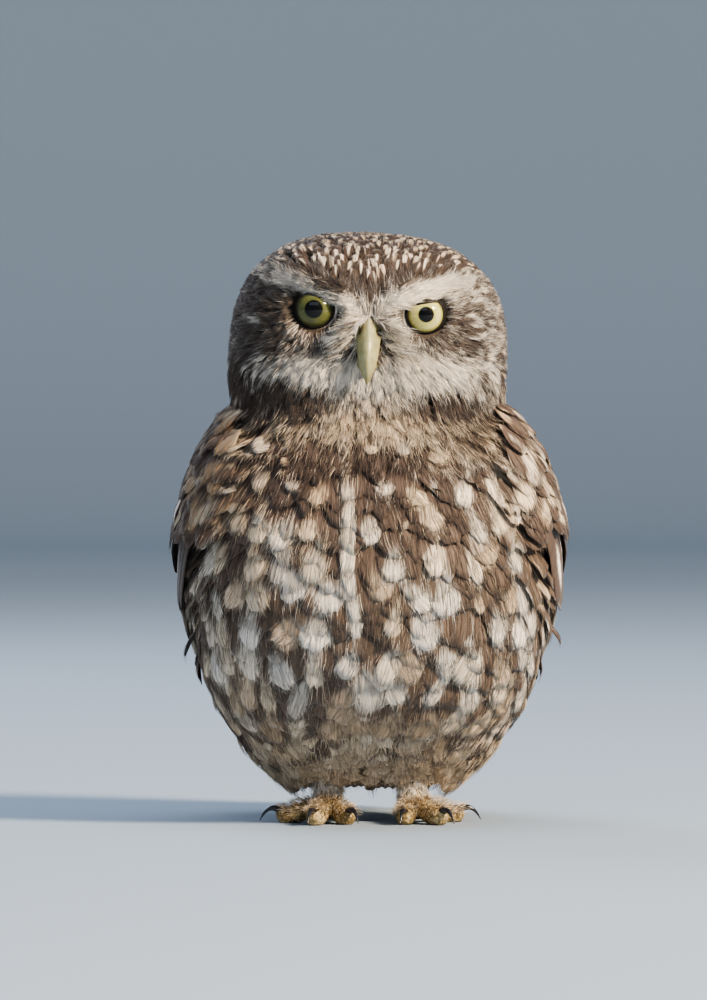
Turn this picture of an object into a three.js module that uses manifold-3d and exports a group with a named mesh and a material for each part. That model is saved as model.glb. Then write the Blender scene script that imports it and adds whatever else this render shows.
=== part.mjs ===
// A little owl (Athene noctua) standing upright, life size, in millimetres.
// +Z is up, the owl looks along -Y, and its left side is at +X. The feet stand on the plane z = 0.
import * as THREE from 'three';
import { mergeVertices } from 'three/addons/utils/BufferGeometryUtils.js';
import Module from 'manifold-3d';

const wasm = await Module();
wasm.setup();

// Driving sizes
const gap = 0.3; // clearance between pieces that touch
const vaneThickness = 0.5;
const vaneClearance = 0.32; // between feathers that lie over one another

const bodyAxisY = -3.5; // the upright axis through the head
const torsoBottom = 11.7;
const neckBottom = 112;
const neckTop = 122;

// The head is a rounded box, measured from its axis at the height of its widest level.
const skull = {
  halfWidth: 40,
  front: 34,
  back: 31.5,
  middle: 134,
  top: 36.7,
  under: 30,
  squareness: 2.6,
};
const planSquareness = 2.25; // how boxy the body is, seen from above: 2 is an ellipse
const faceSquareness = 2.8; // the face is flatter than the rest

const headLean = THREE.MathUtils.degToRad(2.8); // the head leans to its left
const leanHeight = 150;

const eye = { side: 16, depth: -26.6, height: 148.3, radius: 8.2, corneaRadius: 6.5, corneaForward: 2.9 };
const eyeDiverge = THREE.MathUtils.degToRad(11);
const lid = { radius: 6.9, thickness: 1.5, forward: 5.6 };
const upperLid = { drop: 1.5, forward: 1.5, innerTurn: 0.5 };
const cere = { side: 2.1, depth: -38.9, height: 141, radius: 2.5, tall: 1.2 };
const nostril = { side: 3.4, depth: -41, height: 140.8, radius: 1.1, tall: 1.3 };

const ankle = { side: 12.2, depth: -3, height: 8.7 }; // where a foot meets its feathered leg
const floorFlat = 0.5; // how far a toe's round pad is pressed flat

// Levels of the trunk from the vent up into the head: height, half width, front, back.
const trunkLevels = [
  [11.5, 0, 10, 10],
  [13, 20, -3, 23],
  [16.5, 29.5, -12, 31.5],
  [21, 35.8, -20.5, 36.5],
  [25.5, 39.5, -27, 39.5],
  [33, 44.5, -37, 43],
  [47, 49.5, -46.5, 45.5],
  [66, 51.2, -51, 44],
  [86, 50, -50, 40.5],
  [102, 46.5, -45.5, 36.5],
  [114, 41.5, -39, 31.5],
  [124, 34, -34, 26],
  [132, 22, -25.5, 18.5],
  [138, 0, bodyAxisY, bodyAxisY],
];

// Levels of the surface that the folded wings lie on: height, centre in y, half width, depth behind it.
const wingLevels = [
  [4, 63, 10, 11],
  [10, 56, 16, 15],
  [18, 45, 25, 21.5],
  [26, 34, 33.5, 29],
  [34, 23, 41.5, 37],
  [42, 13, 47.5, 43.5],
  [50, 5, 50.4, 48.5],
  [58, 0, 51.6, 49.5],
  [68, -3, 51.9, 48.5],
  [80, -4.5, 51.3, 46],
  [94, -4.5, 49.3, 42],
  [106, -4, 46, 37.5],
  [116, -3.8, 42, 33.2],
  [124, -3.5, 36, 28],
];
const wingFrontDepth = 47;

const tailRoot = new THREE.Vector3(0, 30, 50);
const tailTip = new THREE.Vector3(0, 73, 3.2);

// Smooth reading of a table of levels at any height.
function reader(levels) {
  const steps = 16;
  const rows = [];
  for (let i = 0; i < levels.length - 1; i++) {
    const p = [i - 1, i, i + 1, i + 2].map((k) => levels[Math.min(Math.max(k, 0), levels.length - 1)]);
    for (let s = 0; s < steps; s++) {
      const t = s / steps;
      rows.push(
        p[0].map(
          (_, c) =>
            0.5 *
            (2 * p[1][c] +
              (p[2][c] - p[0][c]) * t +
              (2 * p[0][c] - 5 * p[1][c] + 4 * p[2][c] - p[3][c]) * t * t +
              (3 * p[1][c] - p[0][c] - 3 * p[2][c] + p[3][c]) * t * t * t)
        )
      );
    }
  }
  rows.push(levels.at(-1));
  return (z) => {
    if (z <= rows[0][0]) return rows[0];
    if (z >= rows.at(-1)[0]) return rows.at(-1);
    const i = rows.findIndex((row) => row[0] > z);
    const t = (z - rows[i - 1][0]) / (rows[i][0] - rows[i - 1][0]);
    return rows[i].map((v, c) => rows[i - 1][c] + (v - rows[i - 1][c]) * t);
  };
}

const trunkAt = reader(trunkLevels);
const wingAt = reader(wingLevels);

const between = (a, b, t) => a + (b - a) * t;
const smooth = (low, high, v) => THREE.MathUtils.smoothstep(v, low, high);
const bump = (dx, dz, sx, sz) => Math.exp(-((dx / sx) ** 2 + (dz / sz) ** 2));
const greater = (a, b, blend) => (a + b + Math.sqrt((a - b) ** 2 + blend ** 2)) / 2;

// Distance from the centre to a rounded ellipse, at an angle whose cosine and sine are given.
function rounded(c, s, halfWidth, depth, p = planSquareness) {
  if (halfWidth <= 0 || depth <= 0) return 0;
  return ((Math.abs(c) / halfWidth) ** p + (Math.abs(s) / depth) ** p) ** (-1 / p);
}

// The head's relief in front: eye sockets under brows that slope down to the bill, the swelling round the
// bill, the cheeks, and the chin drawn in.
function faceRelief(x, z) {
  const side = Math.abs(x);
  const browHeight = eye.height + 7.8 + 0.35 * (side - eye.side);
  const socket = -3.6 * bump(side - eye.side, z - eye.height + 1, 7.5, 7);
  const brow = 2.6 * bump(side - eye.side + 1, z - browHeight, 11, 4.2);
  const billBase = 3.2 * bump(side, z - 142, 6, 9);
  const cheek = 1.6 * bump(side - 17, z - 132, 12, 6);
  const chin = -1.6 * bump(side, z - 123, 8, 6);
  return socket + brow + billBase + cheek + chin;
}

// Distance of the head and trunk's surface from the upright axis, at an angle round it and a height.
function bodyRadius(angle, z) {
  const c = Math.cos(angle);
  const s = Math.sin(angle);
  const [, halfWidth, front, back] = trunkAt(z);
  const trunk = z < trunkLevels.at(-1)[0] ? rounded(c, s, halfWidth, (back - front) / 2) : 0;
  const share = Math.abs(z - skull.middle) / (z > skull.middle ? skull.top : skull.under);
  const level = share < 1 ? (1 - share ** skull.squareness) ** (1 / skull.squareness) : 0;
  const squareness = s < 0 ? between(planSquareness, faceSquareness, -s) : planSquareness;
  let head = level * rounded(c, s, skull.halfWidth, s < 0 ? skull.front : skull.back, squareness);
  if (s < 0 && head > 0) head += faceRelief(head * c, z) * smooth(0, 0.6, -s);
  return greater(trunk, head, trunk > 0 && head > 0 ? 4 : 0);
}

// The head turns a little about the line of sight, fading out down the neck.
function leaning(point) {
  const turn = headLean * smooth(108, skull.middle, point.z);
  const x = point.x;
  const z = point.z - leanHeight;
  point.x = x * Math.cos(turn) + z * Math.sin(turn);
  point.z = leanHeight + z * Math.cos(turn) - x * Math.sin(turn);
  return point;
}

function leaned(geometry) {
  const places = geometry.attributes.position;
  for (let i = 0; i < places.count; i++) {
    const point = leaning(new THREE.Vector3().fromBufferAttribute(places, i));
    places.setXYZ(i, point.x, point.y, point.z);
  }
  return geometry;
}

function bodyPoint(angle, z, outward = 0) {
  const [, , front, back] = trunkAt(z);
  const r = Math.max(bodyRadius(angle, z) + outward, 0);
  return leaning(new THREE.Vector3(r * Math.cos(angle), (front + back) / 2 + r * Math.sin(angle), z));
}

// A closed surface through rings of equally many points, each ring running the same way round. The second
// half of each ring takes the other diagonal, so that a thin plate has like triangles on both faces.
function skinOver(rings) {
  const n = rings[0].length;
  const index = [];
  for (let i = 0; i < rings.length - 1; i++)
    for (let j = 0; j < n; j++) {
      const a = i * n + j;
      const b = i * n + ((j + 1) % n);
      if (j < n / 2) index.push(a, b, b + n, a, b + n, a + n);
      else index.push(a, b, a + n, b, b + n, a + n);
    }
  const last = (rings.length - 1) * n;
  for (let j = 0; j < n / 2 - 1; j++) {
    const [a, b, c, d] = [j, j + 1, n - 2 - j, n - 1 - j];
    index.push(a, c, b, a, d, c);
    index.push(last + a, last + b, last + c, last + a, last + c, last + d);
  }
  return surfaceOf(rings, index);
}

// A ring of rings whose last one meets the first.
function closedRing(rings) {
  const n = rings[0].length;
  const index = [];
  for (let i = 0; i < rings.length; i++)
    for (let j = 0; j < n; j++) {
      const next = (i + 1) % rings.length;
      const [a, b] = [i * n + j, i * n + ((j + 1) % n)];
      const [c, d] = [next * n + ((j + 1) % n), next * n + j];
      index.push(a, b, c, a, c, d);
    }
  return surfaceOf(rings, index);
}

function surfaceOf(rings, index) {
  const places = rings.flat().flatMap((p) => p.toArray());
  return new THREE.BufferGeometry()
    .setAttribute('position', new THREE.Float32BufferAttribute(places, 3))
    .setIndex(index);
}

// A closed geometry as a solid to join and cut, with its faces pointing out.
function solid(geometry) {
  const bare = geometry.clone();
  for (const name of Object.keys(bare.attributes)) if (name !== 'position') bare.deleteAttribute(name);
  const merged = mergeVertices(bare, 1e-4);
  const made = new wasm.Manifold(
    new wasm.Mesh({
      numProp: 3,
      vertProperties: merged.attributes.position.array,
      triVerts: new Uint32Array(merged.index.array),
    })
  );
  return made.volume() < 0 ? solid(flipped(merged)) : made;
}

function flipped(geometry) {
  const turned = geometry.clone();
  const order = turned.index.array;
  for (let i = 0; i < order.length; i += 3) {
    [order[i + 1], order[i + 2]] = [order[i + 2], order[i + 1]];
  }
  return turned;
}

// The largest closed surface of a solid, as a geometry.
function largest(made) {
  const pieces = made.decompose().sort((a, b) => b.volume() - a.volume());
  const mesh = pieces[0].getMesh();
  const positions = new Float32Array(mesh.numVert * 3);
  for (let i = 0; i < mesh.numVert; i++)
    positions.set(mesh.vertProperties.subarray(i * mesh.numProp, i * mesh.numProp + 3), i * 3);
  return new THREE.BufferGeometry()
    .setAttribute('position', new THREE.BufferAttribute(positions, 3))
    .setIndex(new THREE.BufferAttribute(mesh.triVerts, 1));
}

const joined = (solids) => wasm.Manifold.union(solids);

// Everything below a height, or above it.
const below = (z) => solid(new THREE.BoxGeometry(400, 400, 400).translate(0, 0, z - 200));
const above = (z) => solid(new THREE.BoxGeometry(400, 400, 400).translate(0, 0, z + 200));

// The body's surface between two heights. Angles are closest together in front, where the face is.
function bodySlice(low, high, levels, around, outward = 0, frontCrowding = 0) {
  const rings = [];
  for (let i = 0; i <= levels; i++) {
    const t = i / levels;
    const crowded = frontCrowding ? Math.sin((Math.PI / 2) * t) : (1 - Math.cos(Math.PI * t)) / 2;
    const z = between(low, high, frontCrowding ? between(t, crowded, 0.45) : crowded);
    const past = i === 0 ? -outward : i === levels ? outward : 0;
    const ring = [];
    for (let j = 0; j < around; j++) {
      const turn = (2 * Math.PI * j) / around;
      const angle = -Math.PI / 2 + turn - frontCrowding * Math.sin(turn);
      const point = bodyPoint(angle, z, outward);
      point.z += past;
      ring.push(point);
    }
    rings.push(ring);
  }
  return solid(skinOver(rings));
}

// A tapering tube through points, each with its own radius. Its two ends are nearly closed by small caps.
function taperedTube(points, radii, sides, flatten = 1) {
  const rings = points.map((p, i) => {
    const ahead = points[Math.min(i + 1, points.length - 1)];
    const behind = points[Math.max(i - 1, 0)];
    const along = new THREE.Vector3().subVectors(ahead, behind).normalize();
    const across = new THREE.Vector3().crossVectors(along, new THREE.Vector3(0.02, 0.1, 1)).normalize();
    const over = new THREE.Vector3().crossVectors(across, along);
    return Array.from({ length: sides }, (_, j) => {
      const turn = (2 * Math.PI * (j + 0.5)) / sides;
      return p
        .clone()
        .addScaledVector(across, radii[i] * Math.cos(turn))
        .addScaledVector(over, radii[i] * flatten * Math.sin(turn));
    });
  });
  return solid(skinOver(rings));
}

// Wings

// A point over the wing's resting surface, for the wing at +X; side mirrors it.
function wingPoint(side, degrees, z, lift) {
  const angle = THREE.MathUtils.degToRad(degrees);
  const [c, s] = [Math.cos(angle), Math.sin(angle)];
  const [, centre, halfWidth, depth] = wingAt(z);
  const r = rounded(c, s, halfWidth, s < 0 ? wingFrontDepth : depth) + lift;
  return new THREE.Vector3(side * r * c, centre + r * s, z);
}

// Outline of a feather: share of its length, share of its half width.
const longFeather = [[0, 0.45], [0.2, 0.8], [0.5, 1], [0.78, 0.95], [0.93, 0.66], [1, 0.22]];
const shortFeather = [[0, 0.55], [0.4, 1], [0.78, 0.9], [1, 0.3]];

// The midline of a feather: its place over the surface at a share of its length.
function midline(surface, { root, tip, lifts, bow = 0 }, share) {
  const lift = between(lifts[0], lifts[1], Math.min(share / lifts[2], 1));
  const aside = bow * Math.sin(Math.PI * share);
  return surface(between(root[0], tip[0], share) + aside, between(root[1], tip[1], share), lift);
}

function direction(surface, feather, share) {
  const ahead = midline(surface, feather, share + 0.02);
  return ahead.sub(midline(surface, feather, share - 0.02)).normalize();
}

// One feather vane on a surface. Its slope tilts it, so that it leans on its neighbour.
function vane(surface, feather) {
  const rings = feather.outline.map(([share, width]) => {
    const middle = midline(surface, feather, share);
    const along = direction(surface, feather, share);
    const level = surface(between(feather.root[0], feather.tip[0], share) + 3, middle.z, 0).sub(
      surface(between(feather.root[0], feather.tip[0], share) - 3, middle.z, 0)
    );
    const over = level.cross(along).normalize();
    if (over.dot(new THREE.Vector3(middle.x, middle.y - 10, 0)) < 0) over.negate();
    const across = new THREE.Vector3().crossVectors(over, along).normalize();
    const corner = (v, up) =>
      middle
        .clone()
        .addScaledVector(across, v * feather.halfWidth * width)
        .addScaledVector(over, (up * vaneThickness) / 2 - feather.slope * v * feather.halfWidth * width);
    return [corner(-1, 1), corner(1, 1), corner(1, -1), corner(-1, -1)];
  });
  return solid(skinOver(rings));
}

// The feather at a share of the way through a row whose roots and tips run between two ends.
function inRow({ roots, tips, ...sizes }, t) {
  const root = [between(roots[0][0], roots[1][0], t), between(roots[0][1], roots[1][1], t)];
  const tip = [between(tips[0][0], tips[1][0], t), between(tips[0][1], tips[1][1], t)];
  return { ...sizes, root, tip };
}

// Least distance between neighbouring feathers of a row, square to their length.
function rowSpacing(surface, sizes) {
  const half = 0.5 / (sizes.count - 1);
  const distances = [0.5, 0.75, 0.95].map((share) => {
    const along = direction(surface, inRow(sizes, 0.5), share);
    const step = midline(surface, inRow(sizes, 0.5 + half), share);
    step.sub(midline(surface, inRow(sizes, 0.5 - half), share));
    return step.addScaledVector(along, -step.dot(along)).length();
  });
  return Math.min(...distances);
}

function row(surface, side, sizes) {
  const step = vaneThickness + vaneClearance;
  const slope = sizes.stacked ? 0 : (side * step) / rowSpacing(surface, sizes);
  return Array.from({ length: sizes.count }, (_, k) => {
    const feather = inRow(sizes, k / (sizes.count - 1));
    feather.tip[1] += 0.6 * Math.sin(4.1 * k + 1.3);
    if (sizes.stacked) {
      const [rootLift, tipLift, rise] = sizes.lifts;
      feather.lifts = [rootLift + step * k, tipLift + step * k, rise];
    }
    return vane(surface, { ...feather, slope });
  });
}

// Rows of the folded wing. Roots and tips are degrees round the side and height, from the leading edge in.
// Lifts are the height over the resting surface at the root and beyond, then the share of the length in
// which it is reached.
// The primaries lie flat in a stack, and the feathers of the other rows lean on one another.
const wingRows = {
  primaries: {
    count: 4, roots: [[-17, 88], [13, 88]], tips: [[32, 31], [66, 10]],
    halfWidth: 4.9, lifts: [-0.7, -0.7, 1], outline: longFeather, bow: -5, stacked: true,
  },
  secondaries: {
    count: 6, roots: [[2, 92], [50, 98]], tips: [[38, 38], [80, 44]],
    halfWidth: 5.8, lifts: [2.4, 4.0, 0.2], outline: longFeather, bow: -3,
  },
  tertials: {
    count: 2, roots: [[60, 100], [68, 103]], tips: [[76, 54], [83, 66]],
    halfWidth: 4.8, lifts: [2.6, 6.2, 0.4], outline: longFeather,
  },
  primaryCoverts: {
    count: 3, roots: [[-24, 99], [-12, 97]], tips: [[-10, 62], [8, 62]],
    halfWidth: 4.8, lifts: [1.4, 3.4, 0.5], outline: shortFeather,
  },
  greaterCoverts: {
    count: 7, roots: [[-2, 101], [54, 106]], tips: [[17, 71], [66, 81]],
    halfWidth: 5.2, lifts: [2.2, 6.4, 0.7], outline: shortFeather,
  },
  medianCoverts: {
    count: 7, roots: [[-16, 109], [50, 113]], tips: [[-3, 86], [60, 93]],
    halfWidth: 5.5, lifts: [2.0, 6.4, 0.8], outline: shortFeather,
  },
  lesserCoverts: {
    count: 7, roots: [[-21, 116], [44, 118]], tips: [[-15, 100], [52, 104]],
    halfWidth: 5.3, lifts: [1.6, 5.8, 0.9], outline: shortFeather,
  },
};

// The arm under the coverts, tapering to its edges: height, leading and trailing edge in degrees.
const armLevels = [
  [120, -14, 52],
  [115, -25, 65],
  [106, -28, 72],
  [95, -26, 74],
  [86, -18, 66],
  [81, -8, 50],
];

function wingArm(side) {
  const columns = 7;
  const rings = armLevels.map(([z, leading, trailing], i) => {
    const full = Math.sin((Math.PI * (i + 0.6)) / (armLevels.length + 0.2)) ** 0.5;
    const outer = [];
    const inner = [];
    for (let j = 0; j < columns; j++) {
      const t = j / (columns - 1);
      const degrees = between(leading, trailing, t);
      const rise = Math.sin(Math.PI * (0.08 + 0.84 * t)) ** 0.4;
      outer.push(wingPoint(side, degrees, z, 3.4 * full * rise));
      inner.push(wingPoint(side, degrees, z, -1.6));
    }
    return [...outer, ...inner.reverse()];
  });
  return solid(skinOver(rings));
}

const torsoSlice = (outward = 0) => bodySlice(torsoBottom, neckBottom - gap / 2, 18, 36, outward);
const neckSlice = (outward = 0) => bodySlice(neckBottom + gap / 2, neckTop - gap / 2, 3, 36, outward);
const headSlice = (outward = 0) =>
  bodySlice(neckTop + gap / 2, skull.middle + skull.top - 0.15, 18, 44, outward, 0.5);
const clearOfTrunk = joined([torsoSlice(gap), neckSlice(gap), headSlice(gap)]);

function wing(side) {
  const surface = (degrees, z, lift) => wingPoint(side, degrees, z, lift);
  const vanes = Object.values(wingRows).flatMap((rowSizes) => row(surface, side, rowSizes));
  return largest(joined([wingArm(side), ...vanes]).subtract(clearOfTrunk));
}

// Tail

const tailAlong = new THREE.Vector3().subVectors(tailTip, tailRoot);
const tailLength = tailAlong.length();
tailAlong.normalize();
const tailOver = new THREE.Vector3(0, -tailAlong.z, tailAlong.y);

// Across in mm, distance down the tail from its root, height over its plane.
const tailPoint = (x, down, lift) =>
  tailRoot.clone().addScaledVector(tailAlong, down).addScaledVector(tailOver, lift).setX(x);

// The tail's rows: feathers to a side or in all, step across, half width, start and length down the tail,
// lift over its plane at the root and the tip, and how far each one lies under the one before.
const tailRows = {
  feathers: {
    pairs: 6, step: 2.15, halfWidth: 4.4, start: 0, length: tailLength, lifts: [4.4, 4.4], under: 0.45,
  },
  upperCoverts: {
    count: 5, step: 4.75, halfWidth: 3.9, start: 20, length: 26, lifts: [5.2, 6.4], under: 0.9,
  },
  underCoverts: {
    count: 5, step: 5.25, halfWidth: 3.9, start: 16, length: 34, lifts: [-4.6, -3.4], under: 0.9,
  },
};
const tailFeather = [[0, 0.5], [0.3, 0.85], [0.6, 1], [0.85, 0.95], [0.96, 0.7], [1, 0.25]];
const tailCovert = [[0, 0.6], [0.45, 1], [0.8, 0.85], [1, 0.3]];

function tailVane(x, { halfWidth, start, lifts }, length, drop, outline, gathered) {
  const rings = outline.map(([share, width]) => {
    const middle = x * between(gathered, 1, share);
    const lift = between(lifts[0], lifts[1], share) - drop;
    const corner = (v, up) =>
      tailPoint(middle + v * halfWidth * width, start + length * share, lift + (up * vaneThickness) / 2);
    return [corner(-1, 1), corner(1, 1), corner(1, -1), corner(-1, -1)];
  });
  return solid(skinOver(rings));
}

function tail() {
  const coreLine = [0, 14, 26, 36].map((down) => tailPoint(0, down, 0.4));
  const core = taperedTube(coreLine, [13, 12.5, 10.5, 7], 12, 0.52);
  const { feathers, upperCoverts, underCoverts } = tailRows;
  const vanes = [];
  for (let pair = 0; pair < feathers.pairs; pair++) {
    for (const side of [-1, 1]) {
      const x = side * (0.45 + feathers.step * pair);
      const drop = feathers.under * (2 * pair + (side > 0 ? 1 : 0));
      vanes.push(tailVane(x, feathers, feathers.length - 0.5 * pair ** 1.3, drop, tailFeather, 0.35));
    }
  }
  for (const coverts of [upperCoverts, underCoverts]) {
    for (let k = 0; k < coverts.count; k++) {
      const place = k - (coverts.count - 1) / 2;
      const drop = coverts.under * (k % 2);
      const length = coverts.length - 1.2 * Math.abs(place);
      vanes.push(tailVane(place * coverts.step, coverts, length, drop, tailCovert, 1));
    }
  }
  return largest(joined([core, ...vanes]).subtract(clearOfTrunk));
}

// Head

const eyeCentre = (side) => new THREE.Vector3(side * eye.side, eye.depth, eye.height);
const eyeAxis = (side) => new THREE.Vector3(side * Math.sin(eyeDiverge), -Math.cos(eyeDiverge), 0);

// The eye with its bulging cornea in front, turned about its axis of sight. More adds a skin of that depth.
function eyeball(side, more = 0) {
  const outline = [];
  for (let i = 0; i <= 7; i++) {
    const turn = (Math.PI * 0.62 * i) / 7;
    const along = Math.cos(turn);
    const aside = Math.sin(turn) * eye.corneaForward;
    const reach = Math.sqrt(Math.max((eye.corneaRadius + more) ** 2 - aside ** 2, 0));
    const r = Math.max(eye.radius + more, along > 0 ? eye.corneaForward * along + reach : 0);
    outline.push(new THREE.Vector2(r * Math.sin(turn), r * along));
  }
  outline.push(new THREE.Vector2(0, outline.at(-1).y));
  const shape = new THREE.LatheGeometry(outline.reverse(), 16);
  const sight = new THREE.Quaternion().setFromUnitVectors(new THREE.Vector3(0, 1, 0), eyeAxis(side));
  shape.applyQuaternion(sight).translate(...eyeCentre(side).toArray());
  return solid(leaned(shape));
}

// The two lids, one thick rim round the front of the eye. The upper one hangs lowest towards the bill.
function lids(side) {
  const axis = eyeAxis(side);
  const across = new THREE.Vector3(-axis.y, axis.x, 0);
  const [count, sides] = [18, 5];
  const rings = Array.from({ length: count }, (_, i) => {
    const turn = (2 * Math.PI * i) / count;
    const upper = Math.max(Math.sin(turn - side * upperLid.innerTurn), 0);
    const out = new THREE.Vector3().addScaledVector(across, Math.cos(turn)).setZ(Math.sin(turn));
    const place = eyeCentre(side)
      .addScaledVector(axis, lid.forward + upperLid.forward * upper)
      .addScaledVector(out, lid.radius - upperLid.drop * upper ** 2);
    return Array.from({ length: sides }, (_, j) => {
      const round = (2 * Math.PI * j) / sides;
      const point = place.clone().addScaledVector(out, lid.thickness * Math.cos(round));
      return leaning(point.addScaledVector(axis, (1.2 + 0.5 * upper) * Math.sin(round)));
    });
  });
  return solid(closedRing(rings));
}

// The bill's midline from under the forehead to the hooked tip: y, height, half width, half depth.
const billLine = [
  [-31, 144.5, 3.4, 4.2],
  [-37, 143.6, 3.6, 4.0],
  [-40.6, 140.4, 3.7, 3.6],
  [-42.6, 136.2, 3.5, 3.1],
  [-43.4, 132.2, 2.7, 2.2],
  [-43.0, 129.4, 1.6, 1.3],
  [-42.4, 127.6, 0.35, 0.35],
];
const lowerBillLine = [
  [-30, 135.2, 3.6, 2.2],
  [-36, 134.2, 3.6, 2.0],
  [-39.0, 132.2, 2.7, 1.5],
  [-40.2, 130.6, 1.2, 0.8],
];

function billShape(line, more = 0) {
  const sides = 10;
  const rings = line.map(([y, z, halfWidth, halfDepth], i) => {
    const ahead = line[Math.min(i + 1, line.length - 1)];
    const behind = line[Math.max(i - 1, 0)];
    const along = new THREE.Vector3(0, ahead[0] - behind[0], ahead[1] - behind[1]).normalize();
    const over = new THREE.Vector3(0, along.z, -along.y);
    if (over.y > 0) over.negate();
    return Array.from({ length: sides }, (_, j) => {
      const turn = (2 * Math.PI * (j + 0.5)) / sides;
      const ridge = Math.sin(turn) > 0 ? 1 - 0.45 * Math.sin(turn) : 1;
      return leaning(
        new THREE.Vector3((halfWidth + more) * Math.cos(turn) * ridge, y, z)
          .addScaledVector(over, (halfDepth + more) * Math.sin(turn))
      );
    });
  });
  return solid(skinOver(rings));
}

// A ball stretched upwards: the swollen cere on each side of the bill, and the nostrils in it.
function ball({ side, depth, height, radius, tall }, toSide, more = 0) {
  const shape = new THREE.SphereGeometry(radius + more, 8, 6).rotateX(Math.PI / 2);
  return solid(leaned(shape.scale(1, 1, tall).translate(toSide * side, depth, height)));
}

function upperBill() {
  const whole = joined([billShape(billLine), ball(cere, -1), ball(cere, 1)]);
  return whole.subtract(ball(nostril, -1)).subtract(ball(nostril, 1));
}

function clearOfBills() {
  return joined([
    billShape(billLine, gap),
    billShape(lowerBillLine, gap),
    ball(cere, -1, gap),
    ball(cere, 1, gap),
  ]);
}

// The corners of the mouth run back from the bill as two grooves.
const mouthLine = [[2, -41.5, 135.6], [5.5, -39.2, 135.2], [9.5, -38.2, 133.6]];

function mouthCorners() {
  const groove = (side) => {
    const points = mouthLine.map(([x, y, z]) => leaning(new THREE.Vector3(side * x, y, z)));
    return taperedTube(points, [1.3, 1.3, 0.7], 6);
  };
  return joined([groove(-1), groove(1)]);
}

function head() {
  const shaped = joined([headSlice(), lids(-1), lids(1)]);
  return [eyeball(-1, gap), eyeball(1, gap), clearOfBills(), mouthCorners()].reduce(
    (made, cut) => made.subtract(cut),
    shaped
  );
}

// Legs and feet

// Toes as seen from above: turn from straight ahead (outwards is positive), length, thickness, claw length.
// The left foot is set with its toes turned further out than the right one's.
const footTurn = (side) => (side > 0 ? 14 : -2);
const toes = {
  inner: { turn: -24, length: 13.5, radius: 2.7, claw: 9.5 },
  middle: { turn: 16, length: 16.5, radius: 2.8, claw: 10.5 },
  outer: { turn: 82, length: 13.5, radius: 2.6, claw: 9.5 },
  hind: { turn: 172, length: 9.5, radius: 2.5, claw: 9 },
};
const overAnkle = (side, z) => new THREE.Vector3(side * ankle.side, ankle.depth, z);

function toeFrame(side, { turn }) {
  const angle = THREE.MathUtils.degToRad(turn + footTurn(side));
  return new THREE.Vector3(side * Math.sin(angle), -Math.cos(angle), 0);
}

// A toe's middle at a share of its length.
const toePoint = (side, toe, share, z) =>
  overAnkle(side, z).addScaledVector(toeFrame(side, toe), toe.length * share);

function toeShape(side, toe) {
  const r = toe.radius;
  const knuckles = [[0, 4.4], [0.3, r + 1.5], [0.6, r + 0.5]];
  const pad = [[0.85, r - floorFlat], [1, r - floorFlat + 0.4], [1.12, r + 0.5]];
  const points = [...knuckles, ...pad].map(([share, z]) => toePoint(side, toe, share, z));
  return taperedTube(points, [3.3, r + 0.2, r, r, r * 0.85, r * 0.35], 7);
}

function foot(side) {
  const heelHeights = [0.8, 3.9, ankle.height + 1];
  const heel = taperedTube(heelHeights.map((z) => overAnkle(side, z)), [3.4, 4.0, 3.6], 10);
  const shapes = Object.values(toes).map((toe) => toeShape(side, toe));
  const whole = joined([heel, ...shapes]).subtract(below(0)).subtract(above(ankle.height - gap / 2));
  return Object.values(toes).reduce((made, toe) => made.subtract(claw(side, toe, gap)), whole);
}

// A claw rises a little from the toe's end, then curves over and down to the floor.
function claw(side, toe, more = 0) {
  const out = toeFrame(side, toe);
  const rootHeight = toe.radius + 0.7;
  const stations = 7;
  const points = [];
  const radii = [];
  for (let i = 0; i < stations; i++) {
    const t = i / (stations - 1);
    const reach = toe.claw * 0.95 * t * (1 - 0.22 * t) - 0.5 - (i === 0 ? more : 0);
    const height = rootHeight + 1.35 * Math.sin(Math.PI * t) - (rootHeight - 0.75) * t ** 2.2;
    points.push(toePoint(side, toe, 1, height).addScaledVector(out, reach));
    radii.push(between(1.45, 0.24, t ** 0.8) + more);
  }
  return taperedTube(points, radii, 8);
}

function leg(side) {
  const levels = [[30, 6.6], [22, 5.6], [15, 4.7], [ankle.height - 1, 4.3]];
  const points = levels.map(([z]) => overAnkle(side, z).setY(ankle.depth + (z - ankle.height) * 0.15));
  const whole = taperedTube(points, levels.map(([, radius]) => radius), 12);
  return whole.subtract(clearOfTrunk).subtract(below(ankle.height + gap / 2));
}

// The finished owl

const materials = {
  plumage: new THREE.MeshStandardMaterial({ color: 0x5a4335, roughness: 0.85 }),
  underparts: new THREE.MeshStandardMaterial({ color: 0xb9a68c, roughness: 0.9 }),
  legFeathers: new THREE.MeshStandardMaterial({ color: 0xd8cbb8, roughness: 0.9 }),
  horn: new THREE.MeshStandardMaterial({ color: 0xb9bd8f, roughness: 0.45 }),
  eye: new THREE.MeshStandardMaterial({ color: 0xd9d67c, roughness: 0.1 }),
  claw: new THREE.MeshStandardMaterial({ color: 0x22242a, roughness: 0.3 }),
  foot: new THREE.MeshStandardMaterial({ color: 0x9c8a66, roughness: 0.8 }),
};

const owl = new THREE.Group();

function place(name, geometry, material) {
  const mesh = new THREE.Mesh(geometry, material);
  mesh.name = name;
  owl.add(mesh);
}

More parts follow.
